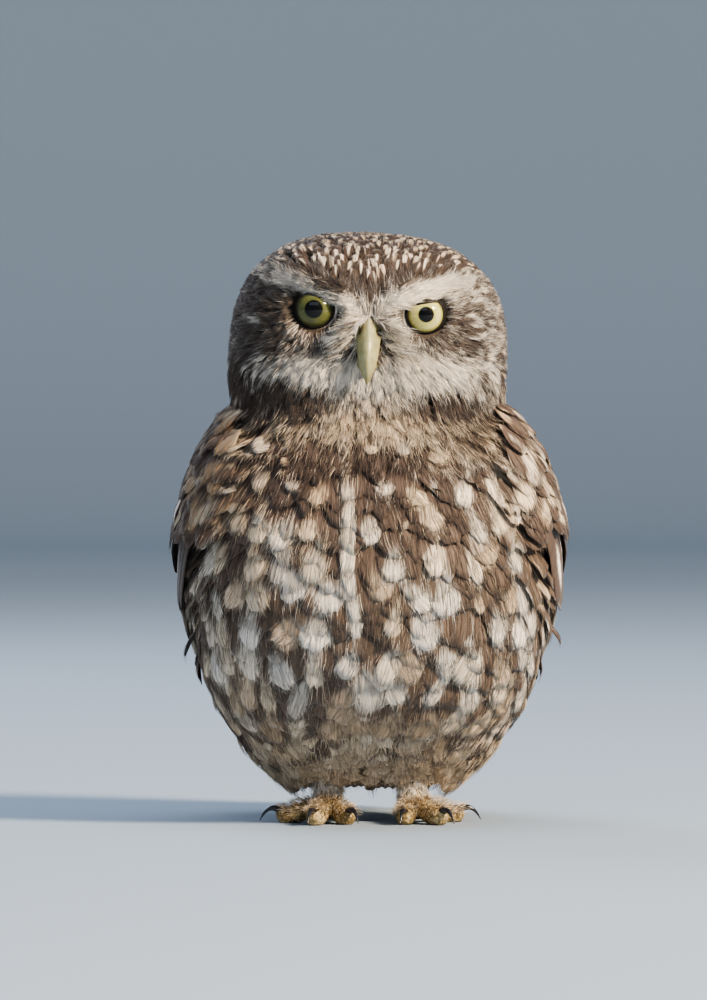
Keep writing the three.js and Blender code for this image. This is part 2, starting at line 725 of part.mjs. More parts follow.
place('torso', largest(torsoSlice()), materials.underparts);
place('neck', largest(neckSlice()), materials.plumage);
place('head', largest(head()), materials.plumage);
place('bill_upper', largest(upperBill()), materials.horn);
const lowerBill = billShape(lowerBillLine).subtract(billShape(billLine, gap));
place('bill_lower', largest(lowerBill), materials.horn);
place('tail', tail(), materials.plumage);
for (const [label, side] of [['right', -1], ['left', 1]]) {
  place('eye_' + label, largest(eyeball(side)), materials.eye);
  place('wing_' + label, wing(side), materials.plumage);
  place('leg_' + label, largest(leg(side)), materials.legFeathers);
  place('foot_' + label, largest(foot(side)), materials.foot);
  for (const [toeName, toe] of Object.entries(toes))
    place(`claw_${label}_${toeName}`, largest(claw(side, toe)), materials.claw);
}

// The origin is on the floor under the middle of the owl.
const bounds = new THREE.Box3().setFromObject(owl);
const middle = bounds.getCenter(new THREE.Vector3());
owl.position.set(-middle.x, -middle.y, -bounds.min.z);

export default owl;
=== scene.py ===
import math

import bpy
import numpy as np
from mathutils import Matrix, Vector


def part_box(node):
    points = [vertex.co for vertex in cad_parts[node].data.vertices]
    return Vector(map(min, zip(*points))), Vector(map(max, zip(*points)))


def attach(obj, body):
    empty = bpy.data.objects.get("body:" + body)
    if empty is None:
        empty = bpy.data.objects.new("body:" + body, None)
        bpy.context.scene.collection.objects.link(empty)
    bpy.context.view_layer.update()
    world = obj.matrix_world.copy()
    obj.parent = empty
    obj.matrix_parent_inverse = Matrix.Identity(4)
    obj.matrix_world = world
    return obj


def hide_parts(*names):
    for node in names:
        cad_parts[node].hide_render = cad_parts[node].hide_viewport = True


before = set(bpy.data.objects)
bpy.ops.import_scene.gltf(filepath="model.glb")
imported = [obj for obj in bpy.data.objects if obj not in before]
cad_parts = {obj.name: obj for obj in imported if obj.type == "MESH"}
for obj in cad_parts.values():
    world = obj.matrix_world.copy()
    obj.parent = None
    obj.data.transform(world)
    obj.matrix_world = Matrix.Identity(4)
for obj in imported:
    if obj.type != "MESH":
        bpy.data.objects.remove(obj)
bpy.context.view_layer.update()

# A little owl, life size. Shapes are worked out in millimetres in the bird's own measure, where the upright
# axis stands at x = 0 and the floor is z = 0, and moved to the frame when a mesh is made.
headBackY = 28.866  # how far back the head reaches in the bird's own measure
shift = np.array([0.0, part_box("head")[1].y * 1000 - headBackY, 0.0])

body = {
    "axisY": -3.5, "headHalfWidth": 40, "headFront": 34, "headBack": 31.5, "headMiddle": 134,
    "headTop": 36.7, "headUnder": 30, "headSquareness": 2.6, "planSquareness": 2.25,
    "faceSquareness": 2.8, "blend": 4, "topReach": 36, "lean": math.radians(2.8), "leanHeight": 150,
}
eye = {
    "side": 15.3, "depth": -26.6, "height": 147.9, "radius": 8.2, "corneaRadius": 6.5,
    "corneaForward": 2.9, "diverge": math.radians(5), "socketSide": 16, "socketHeight": 148.3,
}

# height, half width, front, back
trunkLevels = [
    [11.5, 0, 10, 10], [13, 20, -3, 23], [16.5, 29.5, -12, 31.5], [21, 35.8, -20.5, 36.5],
    [25.5, 39.5, -27, 39.5], [33, 44.5, -37, 43], [47, 49.5, -46.5, 45.5], [66, 51.2, -51, 44],
    [86, 50, -50, 40.5], [102, 46.5, -45.5, 36.5], [114, 41.5, -39, 31.5], [124, 34, -34, 26],
    [132, 22, -25.5, 18.5], [138, 0, -3.5, -3.5],
]
# height, centre in y, half width, depth behind it
wingLevels = [
    [4, 63, 10, 11], [10, 56, 16, 15], [18, 45, 25, 21.5], [26, 34, 33.5, 29], [34, 23, 41.5, 37],
    [42, 13, 47.5, 43.5], [50, 5, 50.4, 48.5], [58, 0, 51.6, 49.5], [68, -3, 51.9, 48.5],
    [80, -4.5, 51.3, 46], [94, -4.5, 49.3, 42], [106, -4, 46, 37.5], [116, -3.8, 42, 33.2],
    [124, -3.5, 36, 28],
]
wingFrontDepth = 47


def smooth(low, high, v):
    # three t squared less two t cubed, where t is v's share of the way from low to high
    t = np.clip((v - low) / (high - low), 0, 1)
    return t * t * (3 - 2 * t)


def lerp(a, b, t):
    return a + (b - a) * t


def bump(dx, dz, sx, sz):
    # one at the middle, falling off as a bell over sx and sz
    return np.exp(-((dx / sx) ** 2 + (dz / sz) ** 2))


def axes(p):
    # the x, y and z of places
    return p[..., 0], p[..., 1], p[..., 2]


def unit(v):
    # directions of length one
    return v / np.maximum(np.linalg.norm(v, axis=-1, keepdims=True), 1e-9)


def catmullRom(p0, p1, p2, p3, t):
    # a Catmull-Rom curve's place at share t of the way from p1 to p2
    return 0.5 * (2 * p1 + (p2 - p0) * t + (2 * p0 - 5 * p1 + 4 * p2 - p3) * t**2
                  + (3 * p1 - p0 - 3 * p2 + p3) * t**3)


def levelReader(levels):
    # a Catmull-Rom curve through the rows at sixteen steps each, read by straight lines, held at both ends
    rows = np.array(levels, float)
    before, after = np.vstack([rows[:1], rows[:-2]]), np.vstack([rows[2:], rows[-1:]])
    t = (np.arange(16) / 16)[None, :, None]
    curve = catmullRom(*(p[:, None, :] for p in (before, rows[:-1], rows[1:], after)), t)
    table = np.vstack([curve.reshape(-1, rows.shape[1]), rows[-1:]])
    return lambda z: [np.interp(z, table[:, 0], table[:, c]) for c in range(1, table.shape[1])]


# the same levels for the coat's outer surface, which hangs lower and wider than the flesh
coatLevels = [[2, 15, -1, 14], [7, 21, -4, 20], [12, 28, -8.5, 26.5], [16.5, 33, -14.5, 32],
              [21, 36.8, -21, 36.8]] + trunkLevels[4:]
trunkAt = levelReader(trunkLevels)
coatAt = levelReader(coatLevels)
wingAt = levelReader(wingLevels)


def rounded(c, s, halfWidth, depth, p):
    # distance from the centre to a superellipse of power p, along a direction of cosine c and sine s
    halfWidth = np.maximum(halfWidth, 1e-6)
    depth = np.maximum(depth, 1e-6)
    return ((np.abs(c) / halfWidth) ** p + (np.abs(s) / depth) ** p) ** (-1 / p)


def faceRelief(x, z):
    # eye sockets, brows that slope to the bill, the swelling round the bill, cheeks, and the chin drawn in
    side = np.abs(x)
    browHeight = eye["socketHeight"] + 7.8 + 0.35 * (side - eye["socketSide"])
    return (-3.6 * bump(side - eye["socketSide"], z - eye["socketHeight"] + 1, 7.5, 7)
            + 2.6 * bump(side - eye["socketSide"] + 1, z - browHeight, 11, 4.2)
            + 3.2 * bump(side, z - 142, 6, 9)
            + 1.6 * bump(side - 17, z - 132, 12, 6)
            - 1.6 * bump(side, z - 123, 8, 6))


def headReach(c, s, z):
    # the head's level at a height, its plan radius where it is widest, and the relief of its face
    share = np.abs(z - body["headMiddle"]) / np.where(z > body["headMiddle"], body["headTop"],
                                                      body["headUnder"])
    level = np.maximum(1 - share ** body["headSquareness"], 0) ** (1 / body["headSquareness"])
    squareness = lerp(body["planSquareness"], body["faceSquareness"], np.maximum(-s, 0))
    reach = rounded(c, s, body["headHalfWidth"], np.where(s < 0, body["headFront"], body["headBack"]),
                    squareness)
    relief = np.where(level > 0, faceRelief(level * reach * c, z) * smooth(0, 0.6, -s), 0)
    return share, level, reach, relief


def lean(p, way=1):
    # the head turns about the line of sight at eye height, fading out down the neck
    turn = way * body["lean"] * smooth(108, body["headMiddle"], p[..., 2])
    x, z = p[..., 0], p[..., 2] - body["leanHeight"]
    return np.stack([x * np.cos(turn) + z * np.sin(turn), p[..., 1],
                     body["leanHeight"] + z * np.cos(turn) - x * np.sin(turn)], -1)


def bodyPoint(angle, z):
    # the outer surface of head and trunk: the greater of their two radii, blended into each other, then
    # leaned
    c, s = np.cos(angle), np.sin(angle)
    half, front, back = trunkAt(z)
    trunk = np.where(z < trunkLevels[-1][0],
                     rounded(c, s, half, (back - front) / 2, body["planSquareness"]), 0)
    _, level, reach, relief = headReach(c, s, z)
    head = level * reach + relief
    both = (trunk > 0) & (head > 0)
    blend = np.where(both, body["blend"] ** 2, 0)
    r = (trunk + head + np.sqrt((trunk - head) ** 2 + blend)) / 2
    return lean(np.stack([r * c, (front + back) / 2 + r * s, z + 0 * r], -1))


def bodyField(p):
    # near the surface, about how far a point lies outside it
    q = lean(p, -1)
    z = q[..., 2]
    half, front, back = coatAt(z)
    dx, dy = q[..., 0], q[..., 1] - (front + back) / 2
    rho = np.hypot(dx, dy) + 1e-9
    c, s = dx / rho, dy / rho
    trunk = rho - rounded(c, s, half, (back - front) / 2, body["planSquareness"])
    trunk = np.where(z >= trunkLevels[-1][0], 60, trunk)
    share, level, reach, relief = headReach(c, s, z)
    sides = rho - level * reach - relief
    power = body["headSquareness"]
    far = (share**power + (np.maximum(rho - relief, 0) / reach) ** power) ** (1 / power)
    head = lerp(sides, (far - 1) * body["topReach"], smooth(146, 156, z))
    blended = (trunk + head - np.sqrt((trunk - head) ** 2 + body["blend"] ** 2)) / 2
    return np.where((level > 0) | (z > 146), blended, trunk)


def wingReach(c, s, half, depth):
    # the radius, round the wing's own centre, of the surface that it lies on
    return rounded(c, s, half, np.where(s < 0, wingFrontDepth, depth), body["planSquareness"])


def wingField(p):
    # the same for the folded wings, whose coverts thicken them behind their leading edges
    z = p[..., 2]
    centre, half, depth = wingAt(z)
    dx, dy = p[..., 0], p[..., 1] - centre
    rho = np.hypot(dx, dy) + 1e-9
    c, s = dx / rho, dy / rho
    degrees = np.degrees(np.arctan2(dy, np.abs(dx)))
    lift = np.interp(z, [84, 92, 108, 117, 124], [6.6, 6.2, 5.2, 3.0, 1.0])
    lift = lift * smooth(-42, -12, degrees) * smooth(84, 66, degrees)
    return rho - wingReach(c, s, half, depth) - lift


def wingPoint(side, degrees, z, lift):
    # a place over the surface that the folded wing lies on, round its own centre at each height
    angle = np.radians(degrees)
    c, s = np.cos(angle), np.sin(angle)
    centre, half, depth = wingAt(z)
    r = wingReach(c, s, half, depth) + lift
    return np.stack([side * r * c, centre + r * s, z + 0 * r], -1)


def onSurface(field, p, passes=2):
    # moves points to a field's surface along its slope, and gives the slope's direction as the normal
    step = 0.4
    for _ in range(passes):
        here = field(p)
        slope = np.stack([(field(p + step * axis) - here) / step for axis in np.eye(3)], -1)
        steep = np.maximum((slope**2).sum(-1, keepdims=True), 1e-4)
        p = p - here[..., None] * slope / steep
    return p, unit(slope)


def onBody(p):
    return onSurface(bodyField, p)


def onWing(p):
    return onSurface(wingField, p)


def lieOf(p, n):
    # the lie of the coat: away from bill and eyes on the head, over the crown and down the nape, and on the
    # trunk down and outwards from the middle, less outwards lower down
    q = lean(p, -1)
    x, y, z = axes(q)
    flow = np.zeros(p.shape)
    for centre, strength, reach, least in [
        ([0, -41, 142.5], 1.0, 26, 0.35),
        ([-eye["side"], -30, eye["height"]], 2.6, 11, 0),
        ([eye["side"], -30, eye["height"]], 2.6, 11, 0),
    ]:
        away = q - np.array(centre, float)
        distance = np.linalg.norm(away, axis=-1, keepdims=True)
        flow = flow + away / np.maximum(distance, 1) * (strength * np.exp(-((distance / reach) ** 2)) + least)
    down = 1.3 * smooth(137, 120, z) + 1.3 * smooth(2, 26, y) * smooth(171, 160, z)
    flow[..., 2] -= down
    outward = np.interp(z, [20, 45, 70, 95, 112], [-0.12, 0.08, 0.28, 0.55, 0.6])
    trunkFlow = np.stack([outward * x / 44 + 0.06 * np.tanh((x + 3.5) / 5) * smooth(112, 95, z),
                          0 * x, -1 + 0 * x], -1)
    flow = lerp(trunkFlow, flow, smooth(108, 124, z)[..., None])
    flow = flow - (flow * n).sum(-1, keepdims=True) * n
    return unit(flow)


def sideOutline():
    # heights from crown to vent, and how far down the body's outline, seen from the side, each one lies
    z = np.concatenate([body["headMiddle"] + (body["headTop"] - 0.05) * np.cos(np.linspace(0, 1.2, 200)),
                        np.linspace(145, 11.55, 700)])
    z = np.unique(np.round(z, 4))[::-1]
    front, back = (np.diff(bodyPoint(np.full(len(z), angle), z), axis=0) for angle in (-1.2, 1.2))
    line = np.linalg.norm(front, axis=1) + np.linalg.norm(back, axis=1)
    return z, np.concatenate([[0], np.cumsum(line / 2)])


outlineHeights, outlineFar = sideOutline()


def meridian(count):
    # heights of rings from crown to vent at even steps along that outline
    return np.interp(np.linspace(0, outlineFar[-1], count), outlineFar, outlineHeights)


def bakePlace(p):
    # a root's place on the skin's unwrap: turn round the body, and share of the outline from crown to vent
    q = lean(p, -1)
    turn = np.arctan2(q[..., 1] - body["axisY"], q[..., 0]) / (2 * math.pi) + 0.5
    return turn, np.interp(q[..., 2], outlineHeights[::-1], outlineFar[::-1] / outlineFar[-1])


ringSteps = 97
rootHeights = (11.6, 170.64)  # these keep the roots off the poles, as ringTop does their rings
ringTop = 170.6


def scatter(seed, across, along, keep, top=171.0, bottom=12.0):
    # roots in staggered, jittered rings at the given spacings, where keep() says so
    rng = np.random.default_rng(seed)
    rings = max(int(outlineFar[-1] / along), 8)
    heights = meridian(rings)
    wholeTurn = np.linspace(0, 2 * math.pi, ringSteps)
    found = []
    for i, z in enumerate(heights):
        if not bottom < z < top:
            continue
        ring = bodyPoint(wholeTurn, np.full(ringSteps, min(z, ringTop)))
        around = np.linalg.norm(np.diff(ring, axis=0), axis=1)
        count = max(int(around.sum() / across), 3)
        turn = (np.arange(count) + 0.5 * (i % 2) + rng.uniform(-0.32, 0.32, count)) / count
        far = np.concatenate([[0], np.cumsum(around / around.sum())])
        height = np.interp(i + rng.uniform(-0.28, 0.28, count), np.arange(rings), heights)
        found.append(bodyPoint(np.interp(turn % 1, far, wholeTurn), height.clip(*rootHeights)))
    found = np.concatenate(found)
    return found[keep(lean(found, -1))]


def linear(code):
    # an sRGB hex colour as linear light
    c = np.array([int(code[i:i + 2], 16) for i in (1, 3, 5)]) / 255
    return np.where(c <= 0.04045, c / 12.92, ((c + 0.055) / 1.055) ** 2.4)


def meshPart(places, triangles, numbers=None, colours=None, maps=None, rims=None):
    # places in mm in the bird's own measure, triangles of three indices, and the values of each place, with
    # u and v in maps. Triangles marked as rims are shaded flat, so that the thin edge of a sheet doesn't
    # turn the normals of its faces.
    rims = np.zeros(len(triangles), bool) if rims is None else rims
    return {"places": places.reshape(-1, 3), "triangles": triangles, "rims": rims,
            "numbers": numbers or {}, "colours": colours or {}, "maps": maps or {}}


def joinParts(parts):
    # several such parts as one
    starts = np.cumsum([0] + [len(part["places"]) for part in parts[:-1]])
    made = {"places": np.concatenate([part["places"] for part in parts]),
            "triangles": np.concatenate([part["triangles"] + start for part, start in zip(parts, starts)]),
            "rims": np.concatenate([part["rims"] for part in parts])}
    for group, wide in (("numbers", 1), ("colours", 3), ("maps", 2)):
        made[group] = {key: np.concatenate([part[group][key].reshape(-1, wide) for part in parts])
                       for key in parts[0][group]}
    return made


def makePiece(name, parts, material, nodes=(), staged=False):
    # one mesh object of those parts, on the body unless it is staged, with the nodes of the frame that it
    # replaces
    part = joinParts(parts)
    places = (part["places"] + shift) * 0.001
    triangles = part["triangles"].astype(np.int32)
    mesh = bpy.data.meshes.new(name)
    mesh.vertices.add(len(places))
    mesh.vertices.foreach_set("co", places.astype(np.float32).ravel())
    mesh.loops.add(triangles.size)
    mesh.loops.foreach_set("vertex_index", triangles.ravel())
    mesh.polygons.add(len(triangles))
    mesh.polygons.foreach_set("loop_start", np.arange(0, triangles.size, 3, dtype=np.int32))
    mesh.polygons.foreach_set("loop_total", np.full(len(triangles), 3, np.int32))
    mesh.update(calc_edges=True)
    mesh.polygons.foreach_set("use_smooth", ~part["rims"])
    for key, values in part["colours"].items():
        rgba = np.ones((len(places), 4), np.float32)
        rgba[:, :3] = values
        mesh.attributes.new(key, "FLOAT_COLOR", "POINT").data.foreach_set("color", rgba.ravel())
    for key, values in part["numbers"].items():
        values = values.astype(np.float32).ravel()
        mesh.attributes.new(key, "FLOAT", "POINT").data.foreach_set("value", values)
    for key, values in part["maps"].items():
        layer = mesh.uv_layers.new(name=key)
        layer.data.foreach_set("uv", values[triangles.ravel()].astype(np.float32).ravel())
    mesh.materials.append(material)
    piece = bpy.data.objects.new(name, mesh)
    bpy.context.scene.collection.objects.link(piece)
    if staged:
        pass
    else:
        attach(piece, "root")
    if nodes:
        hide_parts(*nodes)
    print(name, len(triangles), "triangles")
    return piece


def gridFaces(rows, columns):
    # two triangles for each cell of a grid of rows and columns, whose columns close on themselves
    i, j = np.meshgrid(np.arange(rows - 1), np.arange(columns), indexing="ij")
    a, b = i * columns + j, i * columns + (j + 1) % columns
    c, d = a + columns, b + columns
    return np.stack([np.stack([a, b, d], -1), np.stack([a, d, c], -1)], -2).reshape(-1, 3)


def facingOut(places, triangles, count=1):
    # the triangles of so many shells alike, turned round in each shell whose signed volume is negative
    shells = triangles.reshape(count, -1, 3)
    corners = places[shells] - places[shells[:, :1, :1]]
    volume = (corners[:, :, 0] * np.cross(corners[:, :, 1], corners[:, :, 2])).sum((1, 2))
    return np.where((volume < 0)[:, None, None], shells[:, :, ::-1], shells).reshape(-1, 3)


def closedTube(rings):
    # places and triangles of a tube given as rings, with a fan over each end about an added middle
    count, sides = rings.shape[:2]
    places = np.concatenate([rings.reshape(-1, 3), rings[[0, -1]].mean(1)])
    j = np.arange(sides)
    ahead, last = (j + 1) % sides, (count - 1) * sides
    low = np.stack([np.full(sides, count * sides), ahead, j], -1)
    high = np.stack([np.full(sides, count * sides + 1), last + j, last + ahead], -1)
    return places, facingOut(places, np.concatenate([gridFaces(count, sides), low, high]))


def addNode(tree, kind, settings=None, links=None):
    # adds a shader node, sets its properties or sockets by name, and links outputs into its inputs
    node = tree.nodes.new("ShaderNode" + kind)
    for key, value in (settings or {}).items():
        if isinstance(key, str) and hasattr(node, key):
            setattr(node, key, value)
        else:
            node.inputs[key].default_value = value
    for key, source in (links or {}).items():
        tree.links.new(source, node.inputs[key])
    return node


def newMaterial(name, settings):
    # a material with one Principled shader that has these constant values
    material = bpy.data.materials.new(name)
    material.use_nodes = True
    tree = material.node_tree
    tree.nodes.clear()
    shader = addNode(tree, "BsdfPrincipled", settings)
    addNode(tree, "OutputMaterial", links={"Surface": shader.outputs["BSDF"]})
    return material, tree, shader


def setStops(ramp, stops):
    # gives a colour ramp its stops, each a place and an sRGB hex colour
    elements = ramp.color_ramp.elements
    while len(elements) < len(stops):
        elements.new(0.5)
    for element, (at, code) in zip(elements, stops):
        element.position = at
        element.color = (*linear(code), 1)


# Barbs of a feather: keratin strands, matt and a little silky, lying side by side. Real barbs are 0.05 mm
# apart; the streaks here are 0.24 mm apart, which is the finest that shows, at 2.4 to a cell of the noise.
barbs = {"streak": 0.24, "perCell": 2.4, "slant": 1.25, "along": 0.9, "alongVane": 2.0, "ragged": 1.1,
         "edge": 0.5, "contrast": (0.68, 1.2), "roughness": 0.66}


def featherMaterial(name, chevrons=False):
    # pale and dark tones that meet along ragged streaks, which also shade the barbs and raise them. The map
    # that they follow is in centimetres.
    material, tree, shader = newMaterial(name, {
        "Roughness": barbs["roughness"], "IOR": 1.45, "Specular IOR Level": 0.32,
        "Sheen Weight": 0.18, "Sheen Roughness": 0.45})
    lieMap = addNode(tree, "UVMap", {"uv_map": "lie"})
    split = addNode(tree, "SeparateXYZ", links={"Vector": lieMap.outputs["UV"]})
    across, along = split.outputs["X"], split.outputs["Y"]
    if chevrons:  # on a vane the barbs leave the shaft at a slant, so the streaks follow y less |x|
        side = addNode(tree, "Math", {"operation": "ABSOLUTE"}, {0: across})
        slant = addNode(tree, "Math", {"operation": "MULTIPLY", 1: barbs["slant"]}, {0: side.outputs[0]})
        barbLine = addNode(tree, "Math", {"operation": "SUBTRACT"}, {0: along, 1: slant.outputs[0]})
        across, along = barbLine.outputs[0], side.outputs[0]
    fine = addNode(tree, "Math", {"operation": "MULTIPLY", 1: 10 / barbs["streak"] / barbs["perCell"]},
                   {0: across})
    coarse = addNode(tree, "Math", {"operation": "MULTIPLY", 1: barbs["alongVane" if chevrons else "along"]},
                     {0: along})
    stretched = addNode(tree, "CombineXYZ", links={"X": fine.outputs[0], "Y": coarse.outputs[0]})
    streaks = addNode(tree, "TexNoise", {"noise_dimensions": "2D", "Scale": 1.0, "Detail": 2.0,
                                         "Roughness": 0.6}, {"Vector": stretched.outputs[0]})
    mark = addNode(tree, "Attribute", {"attribute_name": "mark"})
    ragged = addNode(tree, "Math", {"operation": "MULTIPLY_ADD", 1: barbs["ragged"],
                                    2: -0.5 * barbs["ragged"]}, {0: streaks.outputs["Fac"]})
    edge = addNode(tree, "Math", {"operation": "ADD"}, {0: mark.outputs["Fac"], 1: ragged.outputs[0]})
    share = addNode(tree, "MapRange", {"interpolation_type": "SMOOTHSTEP", "From Min": -barbs["edge"],
                                       "From Max": barbs["edge"]}, {"Value": edge.outputs[0]})
    dark = addNode(tree, "Attribute", {"attribute_name": "darkTone"})
    pale = addNode(tree, "Attribute", {"attribute_name": "paleTone"})
    mixed = addNode(tree, "Mix", {"data_type": "RGBA"}, {0: share.outputs["Result"], 6: dark.outputs["Color"],
                                                         7: pale.outputs["Color"]})
    low, high = barbs["contrast"]
    light = addNode(tree, "MapRange", {"From Min": 0.28, "From Max": 0.72, "To Min": low, "To Max": high},
                    {"Value": streaks.outputs["Fac"]})
    shaded = addNode(tree, "VectorMath", {"operation": "SCALE"},
                     {0: mixed.outputs[2], "Scale": light.outputs["Result"]})
    tree.links.new(shaded.outputs[0], shader.inputs["Base Color"])
    relief = addNode(tree, "Bump", {"Strength": 0.4, "Distance": 0.0001}, {"Height": streaks.outputs["Fac"]})
    tree.links.new(relief.outputs["Normal"], shader.inputs["Normal"])
    return material


coatMaterial = featherMaterial("body feather barbs")
vaneMaterial = featherMaterial("flight feather vane", chevrons=True)

tones = {name: linear(code) for name, code in {
    "white": "#faf5ec", "cream": "#ebdcc6", "buff": "#c4aa88", "grey": "#c8bfb1",
    "brown": "#635247", "warm": "#7a6856", "deep": "#3f3027", "slate": "#574b40",
}.items()}


def mixTone(a, b, t):
    return a + (b - a) * np.asarray(t)[..., None]


# Markings: every field below says, in the bird's own measure with the head upright, how pale the plumage is.
# Above nought is pale and below is dark.


def patches(x, z, rows):
    # a sum of bumps, each an amount, its middle across and in height, and its half width and half height
    return sum(amount * bump(x - across, z - height, wide, tall)
               for amount, across, height, wide, tall in rows)


facePatches = {
    "bothSides": [(1.1, 5.5, 147.5, 3.0, 4.0), (0.45, 9, 142, 5, 4), (1.2, 9, 129, 7, 3.8)],
    # patches on one side only: the bird's own marks, and on its right side dark patches beside the eye and on
    # the cheek that are painted shade
    "oneSideWithShade": [
        (-1.3, -29, 148, 9, 7), (-0.4, 29, 146, 7, 5), (-0.9, -36, 132, 7, 9), (-0.7, 17, 139.4, 13, 2.4),
        (-0.5, -19, 139, 10, 3), (-0.45, 30, 140, 7, 7), (1.3, -18, 129.5, 9.5, 4.0),
        (-1.5, 23, 121.4, 8, 3.2), (-1.6, -24, 122, 12, 4.4), (0.5, 0, 121, 11, 6)],
}
trunkPatches = [(2.6, 2, 114.4, 14, 3.6), (-1.3, 2, 104, 8, 5), (-1.2, -20, 103, 9, 5), (0.6, 0, 32, 13, 14)]
besideLine = [(-2.2, 3.4, 76, 0.75, 24), (-0.3, 7, 76, 3.5, 22)]  # measured across from the pale line


def faceTone(x, z):
    # pale brows and cheek crescents, a wedge of crown between the brows with cream streaks, dark beside the
    # eyes, under the gape and in the half collars, and the rest grizzled. The gape's dark line is dark rictal
    # hairs and painted shadow in the slit. The left side is a little paler, and the right side is darker
    # beside the eye, on the cheek and at the outer edge: painted shade for the side away from the light.
    side = np.abs(x)
    alongBrow = np.clip((side - 6) / 22, 0, 1)
    browLine = 150.2 - 1.9 * smooth(2, -4, x) + 8.6 * alongBrow**0.85
    brow = np.exp(-(((z - browLine) / (1.7 + 0.5 * alongBrow)) ** 2))
    brow = brow * smooth(34, 17, side) * smooth(2, 6, side)
    wedge = smooth(1.2 + 0.55 * np.maximum(z - 150.5, 0), 0, side) * smooth(149.5, 151.5, z)
    streaks = np.sin(2.9 * x / (1 + 0.1 * np.maximum(z - 150, 0)) + 0.8 * np.sin(1.1 * z))
    toEye = np.hypot(side - eye["side"], z - eye["height"])
    tone = -0.1 + 2.2 * brow - 0.8 * smooth(2.2, 5, z - browLine) - (1.3 - 1.1 * streaks) * wedge
    tone = tone + patches(side, z, facePatches["bothSides"]) + patches(x, z, facePatches["oneSideWithShade"])
    tone = tone - 1.1 * bump(toEye - 6.8, 0, 0.8, 1) + 0.5 * bump(toEye - 9, z - 141, 1.3, 4)
    crescent = 2.4 * bump(x - 21, z - 131 + 0.1 * (side - 21), 11, 4.4)
    # the gape's line: dark rictal hairs, and painted shadow in the slit
    gape = 1.4 * bump(side - 8, z - 135.4 + 0.16 * (side - 5), 5.0, 0.9)
    # the outer edge darker, most on the right side, where it is painted shade
    return tone + crescent - gape - (0.5 - 0.4 * np.sign(x)) * smooth(31, 38, side)


def partingAt(z):
    # where the pale line down the breast lies across
    return -6.2 - 2.0 * smooth(92, 112, z) + 2.8 * smooth(72, 52, z)


def trunkTone(x, y, z):
    # how pale the ground between the lobes is: brown above with a cream throat band, a thin dark line beside
    # the pale one down the breast, and a cream belly
    ground = np.interp(z, [12, 26, 40, 60, 85, 100, 112], [0.75, 0.4, -0.1, -0.3, -0.32, -0.35, -0.2])
    tone = ground + patches(x, z, trunkPatches) + patches(x - partingAt(z), z, besideLine)
    return lerp(-0.6 + 0 * z, tone, smooth(8, -16, y))


def drop(a, t, aside, wide, middle, long, beyond=1.0):
    # a rounded spot: one less the distance from its middle in half widths and half lengths. Beyond the
    # middle it may be longer, to run on to the feather's tip.
    return 1 - np.hypot((a - aside) / wide, (t - middle) / (long * np.where(t > middle, beyond, 1)))


def sheetFaces(stations, columns):
    # triangles of a thin closed sheet given as rings, over the top and back under it, with both ends capped
    around = 2 * columns
    j = np.arange(columns - 1)
    cap = np.concatenate([np.stack([j, j + 1, around - 2 - j], -1),
                          np.stack([j, around - 2 - j, around - 1 - j], -1)])
    faces = np.concatenate([gridFaces(stations, around), cap[:, ::-1], cap + (stations - 1) * around])
    cell = np.arange((stations - 1) * around * 2) // 2 % around
    rims = np.concatenate([(cell == columns - 1) | (cell == around - 1), np.ones(2 * len(cap), bool)])
    return faces, rims


def strandFaces(steps):
    # triangles of a three-edged strand that ends in a point, none of them a rim
    k = np.arange(steps - 1)[:, None] * 3
    cell = np.array([[0, 3, 4], [0, 4, 1], [1, 4, 5], [1, 5, 2], [2, 5, 3], [2, 3, 0]])
    last = 3 * (steps - 1)
    caps = np.array([[0, 1, 2], [last, last + 3, last + 1], [last + 1, last + 3, last + 2],
                     [last + 2, last + 3, last]])
    faces = np.concatenate([(k[..., None] + cell[None]).reshape(-1, 3), caps])
    return faces, np.zeros(len(faces), bool)


def thereAndBack(values):
    # the values over a sheet's top, then the same along its underside, whose columns run back
    return np.concatenate([values, values[:, :, ::-1]], 2)


def repeated(shape, count, each):
    # the triangles of one shape, and which are rims, for count shapes of each places
    faces, rims = shape
    return (np.arange(count)[:, None, None] * each + faces[None]).reshape(-1, 3), np.tile(rims, count)


def layFeathers(roots, normals, lie, spec, rng, surface, scale):
    # gives a function from shares across and along each feather to places. A feather widens from its root,
    # follows the surface along its lie, and rises from the skin to the outer surface as one less (one less
    # its share of the way) to a power.
    count = len(roots)
    across = np.cross(lie, normals)[:, None, None, :]
    grow = 1 + spec["vary"] * rng.standard_normal(count)
    length = (spec["length"] * grow * scale)[:, None, None]
    width = (spec["width"] * (0.6 + 0.4 * grow))[:, None, None]
    bend = (spec["bend"] * rng.standard_normal(count))[:, None, None] * length
    loft = (spec["loft"] * rng.standard_normal(count))[:, None, None]
    lifted = np.broadcast_to(np.asarray(spec["lift"], float), (count,))[:, None, None]

    def place(a, share):
        x = width / 2 * a * (0.3 + 0.7 * smooth(0, 0.55, share)) + bend * share**2
        p = (roots[:, None, None, :] + x[..., None] * across
             + (length * share)[..., None] * lie[:, None, None, :])
        p, n = surface(p) if surface else (p, np.broadcast_to(normals[:, None, None, :], p.shape))
        lift = (lifted * smooth(0.35, 0.85, share) - spec["depth"] * (1 - share.clip(0, 1)) ** 1.8
                + loft * share - spec["camber"] * a**2 * share - spec["curl"] * smooth(0.8, 1, share))
        return p + n * lift[..., None], n

    return place, length, width


